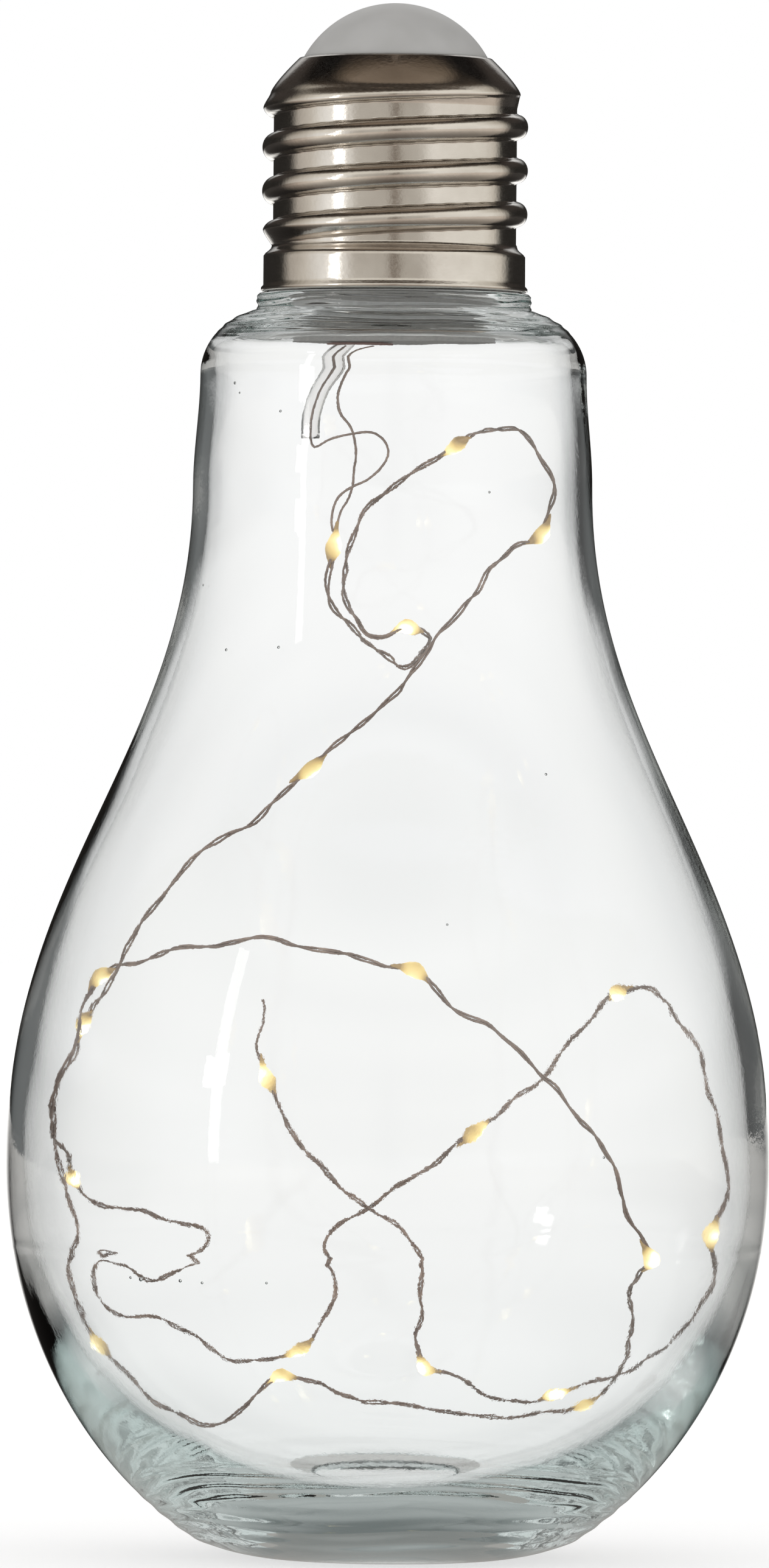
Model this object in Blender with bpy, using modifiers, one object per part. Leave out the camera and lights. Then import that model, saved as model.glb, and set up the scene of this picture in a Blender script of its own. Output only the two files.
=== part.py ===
"""Battery light in the shape of a large light bulb.

A thick glass bulb stands on its own base.  A polished metal screw-shell cap with a frosted
push button on top is plugged into its neck and lifts out.  The cap holds three button cells,
a small board and a switch, and carries a string of tiny resin-drop lights on fine wire pairs
that lies loosely inside the glass.

Units are metres, +Z is up, and the origin is the centre of the base on the table.
"""
import math

import bmesh
import bpy
from mathutils import Vector

# General
MM = 0.001
GAP = 0.0003                 # clearance between neighbouring solids
CUT_PAST = 0.001             # how far a cutter runs out past the face that it opens
ROUND_STEPS = 40             # facets around the glass
MIDDLE_STEPS = 32            # around the pieces of the cap
SMALL_STEPS = 20             # around small round pieces
HOLE_STEPS = 16              # around the wire holes
LONG_CURVE_POINTS = 11       # along the S curve from the belly to the neck
BOTTOM_POINTS = 8           # along the lower curve of the glass
HEEL_POINTS = 3
SHOULDER_POINTS = 6          # over the shoulder of the glass
CORNER_POINTS = 5            # in the inner corner under the mouth

# Glass bulb, outside
BULB_RADIUS = 0.0578         # at the widest place
BULB_WIDEST_Z = 0.0596
HEEL_RADIUS = 0.0296         # where the belly's curve gives way to the flatter heel
HEEL_HEIGHT = 0.0032
HEEL_PULL = 0.0025           # how far the heel first runs on in the belly's direction
HEEL_SPREAD = 0.0040         # how far outside the foot it has almost reached the table
HEEL_LIFT = 0.0003
FOOT_RADIUS = 0.0180         # outside of the flat ring that rests on the table
FOOT_RING_WIDTH = 0.0050
PUSH_UP = 0.0016             # hollow under the base
NECK_RADIUS = 0.0302         # at the waist
NECK_WAIST_Z = 0.1617
RIM_TOP_Z = 0.1908
RIM_RADIUS = 0.0207
RIM_HEIGHT = 0.0022          # short upright collar under the cap
RIM_EDGE = 0.0003
SHOULDER_HEIGHT = 0.0100
SHOULDER_INSET = 0.0025      # how far inside the collar the shoulder's curve is centred
SHOULDER_NECK_RADIUS = 0.0292
BELLY_PULL = 0.0445          # how far the belly's curve runs on before it turns to the neck
NECK_PULL = 0.0400

# Glass bulb, inside
BELLY_WALL = 0.0032
NECK_WALL = 0.0022
FLOOR_THICKNESS = 0.0052
BORE_RADIUS = 0.0162
SHOULDER_WALL = 0.0038
INNER_CORNER = 0.0045        # radius between the neck's wall and the shoulder's flat underside
FLOOR_SQUARENESS = 2.12      # exponent of the inner bottom curve

# Metal cap
SHEET = 0.0005
SKIRT_RADIUS = 0.0198
SKIRT_HEIGHT = 0.0064
GROOVE_RADIUS = 0.0187       # above the skirt
CREST_RADIUS = 0.0201
ROOT_RADIUS = 0.0183
THREAD_PITCH = 0.0066
THREAD_HEIGHT = 0.0237
THREAD_START = 0.0055        # height of the first crest on the +X side
THREAD_RUN_IN = 0.0030
THREAD_RUN_OUT = 0.0023
CONE_HEIGHT = 0.0052
CONE_BASE_RADIUS = 0.0189
CONE_TOP_RADIUS = 0.0146
CONE_ROUNDNESS = 1.25
THREAD_STEPS = 32
THREAD_ROWS = 22
CONE_ROWS = 5

# Push button
DOME_RADIUS = 0.01385
DOME_HEIGHT = 0.0081
DOME_WALL = 0.0015
BUTTON_FLANGE = 0.0013       # how far its retaining flange stands out
BUTTON_FLANGE_HEIGHT = 0.0010
BUTTON_FLANGE_DROP = 0.0019  # flange top below the top of the cap
BUTTON_TRAVEL = 0.0012
BOSS_RADIUS = 0.0024
DOME_ROWS = 7

# Battery holder, the plug of the cap
PLUG_RADIUS = 0.0154
PLUG_DEPTH = 0.0074          # below the rim
FLANGE_THICKNESS = 0.0023
COLUMN_HEIGHT = 0.0201       # from the top of the flange
COLUMN_CLEARANCE = 0.0005    # to the thread's roots inside the shell
BOARD_POCKET_RADIUS = 0.0118
BOARD_POCKET_DEPTH = 0.0020
WELL_X = 0.0056
WELL_Y = 0.0024
WIRE_HOLE_RADIUS = 0.0016

# Seal ring
SEAL_HEIGHT = 0.0025
SEAL_DEPTH = 0.0012          # radial width
SEAL_TOP_DROP = 0.0016       # below the rim

# Button cells and their contacts
CELL_RADIUS = 0.0058
CELL_HEIGHT = 0.0054
CELL_STEP = 0.0006
CELL_EDGE = 0.0004
CELL_COUNT = 3
CELL_GAP = 0.0001
CONTACT_THICKNESS = 0.0004
CONTACT_SPRING_WIRE = 0.0005
CONTACT_SPRING_WIDE = 0.0042
CONTACT_SPRING_NARROW = 0.0026
CONTACT_SPRING_TURNS = 2.0
SPRING_ROOM = 0.0021
STRIP_WIDTH = 0.0030

# Battery door
DOOR_RADIUS = 0.0072
DOOR_THICKNESS = 0.0020
SMALL_EDGE = 0.0003          # bevel on the door, the switch and the plunger
LUG_REACH = 0.0008
LUG_WIDTH = 0.0040
LUG_THICKNESS = 0.0009
DOOR_TURN = math.radians(45) # clockwise seen from above, from shut to where the lugs come free
COIN_SLOT_LENGTH = 0.0100
COIN_SLOT_WIDTH = 0.0016
COIN_SLOT_DEPTH = 0.0009

# Board and switch
BOARD_THICKNESS = 0.0010
CHIP_SIZE = (0.0030, 0.0050, 0.0012)
CHIP_X = -0.0080
SWITCH_WIDTH = 0.0080
SWITCH_HEIGHT = 0.0060
PLUNGER_RADIUS = 0.0016
PLUNGER_SOCKET = 0.0036
PLUNGER_STAND = 0.0021       # what shows of the plunger when it is pressed home
BUTTON_SPRING_WIRE = 0.0006
BUTTON_SPRING_TURNS = 4.5

# Grommet, sleeve and wires
GROMMET_RADIUS = 0.0022
GROMMET_LIP = 0.0006
GROMMET_DEPTH = 0.0030
SLEEVE_RADIUS = 0.00145
SLEEVE_WALL = 0.0003
LEAD_DIAMETER = 0.00035
PAIR_DIAMETER = 0.0007       # two enamelled wires side by side
FINE_SPACING = 0.0002        # between the points that a route is measured on
SLEEVE_SPACING = 0.0016
LEAD_SPACING = 0.0025
PAIR_SPACING = 0.0050

# Resin drops over the light chips
DROP_LENGTH = 0.0049
DROP_DIAMETER = 0.0024

# The rim height that the string's route was laid out for, in millimetres like the route
ROUTE_RIM_Z = 187.6

# Where the two leads leave the holder: x, y in millimetres
LEAD_A_XY = (-7.3, -5.0)
LEAD_B_XY = (-2.9, -5.0)

# The route of the string, chosen from the photograph: x, y, z in millimetres.
# Each list runs from one drop to the next; the drops themselves are in DROPS.
SLEEVE_ROUTE = [
    (-7.3, -5.0, 182.0), (-7.3, -5.0, 179.6), (-8.9, -5.3, 176.6), (-11.1, -5.7, 173.0),
    (-12.3, -6.0, 169.0), (-12.4, -6.1, 165.3),
]
LEAD_A_ROUTE = [
    (-7.3, -5.0, 179.0), (-8.9, -5.3, 176.4), (-11.1, -5.7, 173.0), (-12.3, -6.0, 169.0),
    (-12.4, -6.1, 165.5), (-11.7, -6.7, 163.9), (-9.0, -8.0, 165.2), (-5.9, -9.0, 165.9),
    (-3.2, -10.0, 166.1), (-1.4, -10.6, 164.9), (-0.8, -11.0, 163.0), (-1.8, -11.3, 160.9),
    (-3.8, -11.6, 159.1), (-6.1, -11.9, 158.0), (-7.9, -12.1, 156.6), (-8.7, -12.2, 154.6),
    (-8.9, -12.2, 152.4),
]
LEAD_B_ROUTE = [
    (-2.9, -5.0, 179.0), (-5.6, -5.0, 177.6), (-7.4, -4.9, 175.4), (-8.3, -4.8, 172.9),
    (-8.4, -4.8, 171.0), (-7.9, -5.0, 169.0), (-6.7, -5.4, 167.5), (-5.9, -6.0, 165.7),
    (-5.5, -7.0, 163.0), (-5.8, -8.4, 160.5), (-6.0, -9.6, 158.2), (-6.6, -10.8, 156.2),
    (-7.6, -11.7, 154.4), (-8.1, -12.0, 152.4),
]
DROPS = [
    (-8.6, -12.0, 149.4), (2.0, -8.0, 137.2), (9.1, 4.0, 164.4), (22.3, -6.0, 151.4),
    (-11.8, -23.0, 115.3), (-46.0, -3.0, 76.7), (-44.0, -4.0, 26.4), (-16.0, -11.0, 22.8),
    (31.0, 8.0, 14.8), (38.6, -28.0, 43.4), (3.6, -31.0, 85.7), (-43.0, -8.0, 83.9),
    (-48.3, 14.0, 54.1), (-13.8, 16.0, 24.0), (13.4, 18.0, 60.7), (35.6, 19.0, 81.7),
    (48.6, -1.0, 45.6), (26.5, 13.0, 16.6), (6.3, 9.0, 21.9), (-19.0, 13.0, 68.8),
]
STRETCHES = [
    [(-9.3, -11.5, 143.0), (-7.6, -7.0, 138.6), (-2.6, 3.0, 134.4), (1.8, 8.0, 131.4),
     (4.6, 5.0, 133.0), (5.4, -4.0, 135.8)],
    [(-1.6, -8.5, 135.6), (-4.9, -6.2, 137.0), (-6.8, -1.0, 140.8), (-7.2, 6.0, 145.0),
     (-6.2, 10.6, 150.6), (-3.4, 11.0, 156.0), (3.0, 8.0, 160.6)],
    [(12.4, 1.0, 166.2), (17.0, -7.0, 167.2), (21.2, -12.0, 164.2), (23.2, -11.0, 158.8)],
    [(17.4, -9.0, 148.9), (13.2, -14.0, 143.8), (8.8, -18.0, 137.6), (3.4, -21.0, 130.6),
     (-2.0, -22.0, 124.0), (-6.6, -23.0, 120.4)],
    [(-15.4, -23.0, 112.6), (-19.0, -23.0, 108.4), (-27.4, -21.6, 102.6), (-31.5, -19.6, 98.6),
     (-35.3, -17.4, 93.6), (-38.2, -15.0, 89.0), (-41.0, -11.5, 83.6)],
    [(-47.6, 1.0, 72.5), (-50.2, 4.0, 68.4), (-50.8, 5.0, 60.2), (-49.0, 4.0, 53.3),
     (-47.4, 2.0, 45.0), (-48.7, 1.0, 38.9), (-47.8, -0.5, 34.7), (-46.2, -2.0, 30.4)],
    [(-40.0, -7.0, 22.4), (-34.8, -10.5, 18.0), (-30.0, -12.5, 15.2), (-26.0, -13.4, 15.0),
     (-21.6, -13.0, 17.4), (-19.0, -12.0, 20.0)],
    [(-11.4, -9.4, 21.5), (-7.0, -7.0, 18.8), (0.0, -3.4, 16.8), (6.0, 0.0, 15.6),
     (14.4, 3.0, 13.8), (22.0, 5.5, 13.4)],
    [(35.2, 6.5, 19.0), (37.0, 0.0, 26.0), (37.0, -9.0, 33.0), (36.2, -18.0, 38.2),
     (37.4, -25.0, 41.0)],
    [(35.6, -30.0, 48.5), (34.3, -31.0, 53.0), (31.0, -33.0, 60.6), (27.8, -34.0, 64.0),
     (23.9, -35.0, 69.0), (18.1, -35.0, 74.8), (12.2, -34.0, 78.9), (7.2, -32.0, 82.3)],
    [(-1.7, -31.0, 86.4), (-7.4, -30.5, 87.8), (-13.6, -29.5, 89.1), (-17.7, -28.0, 89.9),
     (-23.8, -25.5, 89.1), (-30.0, -21.0, 88.3), (-36.6, -15.0, 86.2)],
    [(-45.4, -9.0, 79.6), (-46.6, -11.0, 75.0), (-48.0, -12.5, 70.4), (-49.7, -11.0, 64.6),
     (-49.8, -4.6, 60.4), (-48.0, 4.4, 57.2)],
    [(-44.6, 18.6, 49.6), (-38.0, 23.0, 48.4), (-32.8, 26.0, 46.5), (-28.6, 28.0, 44.6),
     (-28.0, 29.0, 42.4), (-30.3, 29.0, 38.8), (-36.2, 26.0, 35.8), (-41.0, 22.0, 38.8),
     (-44.0, 19.0, 40.6), (-45.6, 16.5, 38.4), (-45.4, 14.6, 34.8), (-43.4, 14.0, 31.0),
     (-40.0, 14.6, 29.0), (-35.6, 16.2, 29.9), (-29.6, 17.4, 26.2), (-22.8, 17.0, 21.8)],
    [(-9.9, 16.6, 28.5), (-8.3, 18.0, 33.0), (-9.2, 19.4, 39.6), (-9.4, 20.0, 43.2),
     (-6.8, 20.0, 47.2), (-2.8, 19.6, 49.6), (1.6, 19.0, 52.9), (7.8, 18.2, 56.6)],
    [(16.4, 21.0, 63.0), (20.7, 26.0, 66.0), (24.6, 29.0, 69.2), (28.6, 28.6, 74.2),
     (32.4, 25.0, 79.2)],
    [(39.8, 16.0, 83.3), (43.6, 12.0, 79.8), (46.6, 8.4, 75.6), (48.6, 5.4, 70.2),
     (49.5, 3.4, 64.8), (51.0, 2.0, 59.4), (51.6, 1.0, 54.6), (50.8, 0.0, 50.2)],
    [(49.6, -0.6, 40.0), (48.6, 1.4, 33.6), (45.4, 5.0, 27.6), (41.6, 9.0, 23.4),
     (37.4, 12.4, 20.2), (32.6, 13.4, 18.4)],
    [(22.8, 15.6, 14.8), (19.0, 19.6, 14.2), (15.8, 19.8, 15.6), (12.8, 16.0, 18.4),
     (9.4, 11.6, 20.8)],
    [(4.6, 9.2, 27.0), (5.8, 9.6, 31.0), (5.4, 10.4, 36.0), (4.9, 11.4, 42.0),
     (2.6, 12.6, 45.6), (-1.6, 13.6, 48.6), (-6.6, 14.8, 52.6), (-11.4, 15.0, 57.0),
     (-15.4, 14.8, 61.8)],
    [(-20.2, 12.2, 73.3), (-19.6, 11.6, 76.6), (-19.8, 11.0, 79.8)],
]

# Colours: red, green, blue; roughness; metallic
FINISHES = {
    "glass": ((0.80, 0.84, 0.83), 0.05, 0.0),
    "nickel": ((0.72, 0.69, 0.65), 0.16, 1.0),
    "frosted": ((0.80, 0.81, 0.82), 0.45, 0.0),
    "dark_plastic": ((0.10, 0.085, 0.075), 0.50, 0.0),
    "silicone": ((0.62, 0.60, 0.57), 0.55, 0.0),
    "rubber": ((0.46, 0.30, 0.26), 0.60, 0.0),
    "steel": ((0.74, 0.75, 0.76), 0.22, 1.0),
    "spring_steel": ((0.62, 0.62, 0.63), 0.28, 1.0),
    "brass": ((0.78, 0.62, 0.34), 0.25, 1.0),
    "board": ((0.06, 0.25, 0.12), 0.45, 0.0),
    "black_plastic": ((0.03, 0.03, 0.032), 0.45, 0.0),
    "white_plastic": ((0.85, 0.85, 0.83), 0.40, 0.0),
    "clear_vinyl": ((0.86, 0.87, 0.86), 0.15, 0.0),
    "enamelled_copper": ((0.42, 0.30, 0.22), 0.35, 0.6),
    "resin": ((1.00, 0.86, 0.55), 0.25, 0.0),
}

# Places worked out from the sizes above
SHELL_BOTTOM_Z = RIM_TOP_Z + GAP
THREAD_BOTTOM_Z = SHELL_BOTTOM_Z + SKIRT_HEIGHT
CONE_BOTTOM_Z = THREAD_BOTTOM_Z + THREAD_HEIGHT
SHELL_TOP_Z = CONE_BOTTOM_Z + CONE_HEIGHT
PLUG_BOTTOM_Z = RIM_TOP_Z - PLUG_DEPTH
FLANGE_TOP_Z = SHELL_BOTTOM_Z + FLANGE_THICKNESS
HOLDER_TOP_Z = FLANGE_TOP_Z + COLUMN_HEIGHT
BOARD_SEAT_Z = HOLDER_TOP_Z - BOARD_POCKET_DEPTH
BOARD_BOTTOM_Z = BOARD_SEAT_Z + GAP
BOARD_TOP_Z = BOARD_BOTTOM_Z + BOARD_THICKNESS
SWITCH_BOTTOM_Z = BOARD_TOP_Z + GAP
SWITCH_TOP_Z = SWITCH_BOTTOM_Z + SWITCH_HEIGHT
COLUMN_RADIUS = ROOT_RADIUS - SHEET - COLUMN_CLEARANCE
HOLDER_FLANGE_RADIUS = SKIRT_RADIUS - SHEET - GAP
DOOR_POCKET_RADIUS = DOOR_RADIUS + LUG_REACH + GAP
DOOR_MOUTH_RADIUS = DOOR_RADIUS + GAP
DOOR_TOP_Z = PLUG_BOTTOM_Z + DOOR_THICKNESS
LUG_BOTTOM_Z = DOOR_TOP_Z - LUG_THICKNESS
PLATE_BOTTOM_Z = DOOR_TOP_Z + CELL_GAP
PLATE_TOP_Z = PLATE_BOTTOM_Z + CONTACT_THICKNESS
DOOR_POCKET_TOP_Z = PLATE_TOP_Z + GAP
CELLS_BOTTOM_Z = PLATE_TOP_Z + GAP
CELLS_TOP_Z = CELLS_BOTTOM_Z + CELL_COUNT * CELL_HEIGHT + (CELL_COUNT - 1) * CELL_GAP
WELL_TOP_Z = CELLS_TOP_Z + SPRING_ROOM
WELL_RADIUS = CELL_RADIUS + GAP
STRIP_X = WELL_X - WELL_RADIUS - CONTACT_THICKNESS
BUTTON_FLANGE_TOP_Z = SHELL_TOP_Z - BUTTON_FLANGE_DROP
BUTTON_FLANGE_BOTTOM_Z = BUTTON_FLANGE_TOP_Z - BUTTON_FLANGE_HEIGHT
DOME_BASE_Z = SHELL_TOP_Z + GAP
DOME_TOP_Z = DOME_BASE_Z + DOME_HEIGHT
PLUNGER_TOP_Z = SWITCH_TOP_Z + BUTTON_TRAVEL + PLUNGER_STAND


# Scene helpers
def clear_scene():
    for old in list(bpy.data.objects):
        bpy.data.objects.remove(old, do_unlink=True)


def make_material(name):
    colour, roughness, metallic = FINISHES[name]
    material = bpy.data.materials.new(name)
    material.use_nodes = True
    shader = material.node_tree.nodes["Principled BSDF"]
    shader.inputs["Base Color"].default_value = (*colour, 1.0)
    shader.inputs["Roughness"].default_value = roughness
    shader.inputs["Metallic"].default_value = metallic
    material.diffuse_color = (*colour, 1.0)
    return material


def finish_of(name):
    return bpy.data.materials.get(name) or make_material(name)


def add_object(name, data, finish, collection, parent=None, location=(0, 0, 0)):
    item = bpy.data.objects.new(name, data)
    item.location = location
    item.parent = parent
    if finish is not None and not data.materials:
        data.materials.append(finish_of(finish))
    collection.objects.link(item)
    return item


def add_empty(name, collection, location, parent=None):
    empty = bpy.data.objects.new(name, None)
    empty.empty_display_size = 0.01
    empty.location = location
    empty.parent = parent
    collection.objects.link(empty)
    return empty


def smooth(mesh, angle=35):
    mesh.shade_smooth()
    mesh.set_sharp_from_angle(angle=math.radians(angle))


# Turned pieces
def profile_mesh(name, points, closed):
    """A line in the XZ plane; a closed one gives a ring when it is turned."""
    mesh = bpy.data.meshes.new(name)
    edges = [(i, i + 1) for i in range(len(points) - 1)]
    if closed:
        edges.append((len(points) - 1, 0))
    mesh.from_pydata([(r, 0, z) for r, z in points], edges, [])
    return mesh


def add_screw(item, steps):
    screw = item.modifiers.new("turn", "SCREW")
    screw.angle = 2 * math.pi
    screw.axis = "Z"
    screw.steps = steps
    screw.render_steps = steps
    screw.use_merge_vertices = True
    screw.merge_threshold = 0.00001
    screw.use_smooth_shade = True
    return screw


def turned(name, points, finish, collection, parent=None, location=(0, 0, 0),
           closed=False, steps=SMALL_STEPS):
    item = add_object(name, profile_mesh(name, points, closed), finish, collection,
                      parent, location)
    add_screw(item, steps)
    return item


# Cutters
def hide_cutter(item):
    item.hide_render = True
    item.display_type = "WIRE"
    return item


def cylinder_cutter(name, radius, low, high, collection, parent, location=(0, 0),
                    steps=SMALL_STEPS):
    points = [(0, high), (radius, high), (radius, low), (0, low)]
    return hide_cutter(turned(name, points, None, collection, parent,
                              (location[0], location[1], 0), steps=steps))


def box_mesh(name, size):
    mesh = bpy.data.meshes.new(name)
    shape = bmesh.new()
    bmesh.ops.create_cube(shape, size=1.0)
    bmesh.ops.scale(shape, vec=size, verts=shape.verts)
    shape.to_mesh(mesh)
    shape.free()
    return mesh


def box_cutter(name, size, centre, collection, parent, turn=0.0):
    item = add_object(name, box_mesh(name, size), None, collection, parent, centre)
    item.rotation_euler[2] = turn
    return hide_cutter(item)


def boolean(item, other, operation="DIFFERENCE"):
    step = item.modifiers.new(other.name, "BOOLEAN")
    step.operation = operation
    step.solver = "EXACT"
    step.object = other
    return step


# Glass bulb
def bezier(a, b, c, d, count):
    """Points along a cubic curve, leaving out its first one."""
    points = []
    for i in range(1, count + 1):
        t = i / count
        s = 1 - t
        points.append(tuple(
            s ** 3 * a[k] + 3 * s * s * t * b[k] + 3 * s * t * t * c[k] + t ** 3 * d[k]
            for k in range(2)))
    return points


def quarter(centre, radius, height, count):
    """A quarter of an ellipse from its side up to its top, given by (r, z) points."""
    points = []
    for i in range(count + 1):
        turn = math.pi / 2 * i / count
        points.append((centre[0] + radius * math.cos(turn), centre[1] + height * math.sin(turn)))
    return points


def belly_to_neck(radius, neck_radius, neck_top):
    """The long S between the widest place and the foot of the shoulder, going up."""
    return bezier((radius, BULB_WIDEST_Z), (radius, BULB_WIDEST_Z + BELLY_PULL),
                  (neck_radius, NECK_WAIST_Z - NECK_PULL), (neck_radius, NECK_WAIST_Z),
                  LONG_CURVE_POINTS) + [neck_top]


def glass_inside():
    """From the middle of the floor up the inner wall to the mouth."""
    depth = BULB_WIDEST_Z - FLOOR_THICKNESS
    radius = BULB_RADIUS - BELLY_WALL
    power = 2 / FLOOR_SQUARENESS
    points = [(0, FLOOR_THICKNESS)]
    for i in range(1, BOTTOM_POINTS):
        turn = math.pi / 2 * i / BOTTOM_POINTS
        points.append((radius * math.sin(turn) ** power,
                       BULB_WIDEST_Z - depth * math.cos(turn) ** power))
    points.append((radius, BULB_WIDEST_Z))
    shoulder_z = RIM_TOP_Z - RIM_HEIGHT - SHOULDER_WALL - INNER_CORNER
    shoulder_radius = SHOULDER_NECK_RADIUS - NECK_WALL
    points += belly_to_neck(radius, NECK_RADIUS - NECK_WALL, (shoulder_radius, shoulder_z))
    points += quarter((shoulder_radius - INNER_CORNER, shoulder_z), INNER_CORNER, INNER_CORNER,
                      CORNER_POINTS)[1:]
    points += [(BORE_RADIUS, shoulder_z + INNER_CORNER), (BORE_RADIUS, RIM_TOP_Z)]
    return points


def glass_outside():
    """From the rim down the outer wall and under the base to its middle."""
    collar_z = RIM_TOP_Z - RIM_HEIGHT
    shoulder_z = collar_z - SHOULDER_HEIGHT
    points = [(RIM_RADIUS - RIM_EDGE, RIM_TOP_Z), (RIM_RADIUS, RIM_TOP_Z - RIM_EDGE)]
    shoulder_centre = RIM_RADIUS - SHOULDER_INSET
    shoulder = quarter((shoulder_centre, shoulder_z), SHOULDER_NECK_RADIUS - shoulder_centre,
                       SHOULDER_HEIGHT, SHOULDER_POINTS)
    shoulder[-2] = (RIM_RADIUS, shoulder[-2][1])
    points += shoulder[-2::-1]
    wall = belly_to_neck(BULB_RADIUS, NECK_RADIUS, (SHOULDER_NECK_RADIUS, shoulder_z))
    points += wall[-2::-1]
    points.append((BULB_RADIUS, BULB_WIDEST_Z))
    drop = (BULB_WIDEST_Z - HEEL_HEIGHT) / math.sqrt(1 - (HEEL_RADIUS / BULB_RADIUS) ** 2)
    turn_end = math.acos(HEEL_RADIUS / BULB_RADIUS)
    for i in range(1, BOTTOM_POINTS + 1):
        turn = turn_end * i / BOTTOM_POINTS
        points.append((BULB_RADIUS * math.cos(turn), BULB_WIDEST_Z - drop * math.sin(turn)))
    heading = Vector((-BULB_RADIUS * math.sin(turn_end), -drop * math.cos(turn_end))).normalized()
    run_on = Vector(points[-1]) + heading * HEEL_PULL
    points += bezier(points[-1], run_on, (FOOT_RADIUS + HEEL_SPREAD, HEEL_LIFT),
                     (FOOT_RADIUS, 0), HEEL_POINTS)
    inner = FOOT_RADIUS - FOOT_RING_WIDTH
    for i in range(4):
        turn = math.pi / 2 * i / 3
        points.append((inner * math.cos(turn), PUSH_UP * math.sin(turn)))
    points[-1] = (0, PUSH_UP)
    return points


def build_glass(collection, parent):
    points = glass_inside() + glass_outside()
    return turned("glass_bulb", points, "glass", collection, parent, steps=ROUND_STEPS)


# Metal cap
def cap_radius(z):
    """Outer radius of the cap before its thread is raised."""
    if z < THREAD_BOTTOM_Z:
        return SKIRT_RADIUS
    if z <= CONE_BOTTOM_Z:
        return ROOT_RADIUS
    part = (z - CONE_BOTTOM_Z) / CONE_HEIGHT
    return CONE_TOP_RADIUS + (CONE_BASE_RADIUS - CONE_TOP_RADIUS) * (1 - part ** CONE_ROUNDNESS)


def thread_rise(z, angle):
    """How far the rolled thread stands out of its root at one place."""
    along = (z - THREAD_BOTTOM_Z - THREAD_START) / THREAD_PITCH
    wave = 0.5 + 0.5 * math.cos(2 * math.pi * along - angle)
    fade_in = min(1.0, max(0.0, (z - THREAD_BOTTOM_Z) / THREAD_RUN_IN))
    fade_out = min(1.0, max(0.0, (CONE_BOTTOM_Z - z) / THREAD_RUN_OUT))
    rise = (CREST_RADIUS - ROOT_RADIUS) * wave * fade_in
    shoulder = CONE_BASE_RADIUS - ROOT_RADIUS
    return rise * fade_out + shoulder * (1 - fade_out)


def cap_levels():
    levels = [SHELL_BOTTOM_Z, SHELL_BOTTOM_Z + 0.5 * SKIRT_HEIGHT, THREAD_BOTTOM_Z - SHEET]
    levels += [THREAD_BOTTOM_Z + THREAD_HEIGHT * i / THREAD_ROWS for i in range(THREAD_ROWS + 1)]
    levels += [CONE_BOTTOM_Z + CONE_HEIGHT * i / CONE_ROWS for i in range(1, CONE_ROWS + 1)]
    return levels


def build_cap_shell(collection, parent):
    """A turned sleeve whose points are then pushed out along a helix, and thickened inward."""
    shape = bmesh.new()
    rings = []
    for z in cap_levels():
        ring = []
        for i in range(THREAD_STEPS):
            angle = 2 * math.pi * i / THREAD_STEPS
            radius = cap_radius(z)
            if THREAD_BOTTOM_Z <= z <= CONE_BOTTOM_Z:
                radius += thread_rise(z, angle)
            if z == THREAD_BOTTOM_Z:
                radius = GROOVE_RADIUS
            ring.append(shape.verts.new((radius * math.cos(angle), radius * math.sin(angle),
                                         z - RIM_TOP_Z)))
        rings.append([shape.edges.new((ring[i], ring[i - 1])) for i in range(THREAD_STEPS)])
    for low, high in zip(rings, rings[1:]):
        bmesh.ops.bridge_loops(shape, edges=low + high)
    bmesh.ops.recalc_face_normals(shape, faces=shape.faces)
    mesh = bpy.data.meshes.new("cap_shell")
    shape.to_mesh(mesh)
    shape.free()
    smooth(mesh, 60)
    item = add_object("cap_shell", mesh, "nickel", collection, parent)
    wall = item.modifiers.new("wall", "SOLIDIFY")
    wall.thickness = SHEET
    wall.offset = -1
    return item


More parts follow.
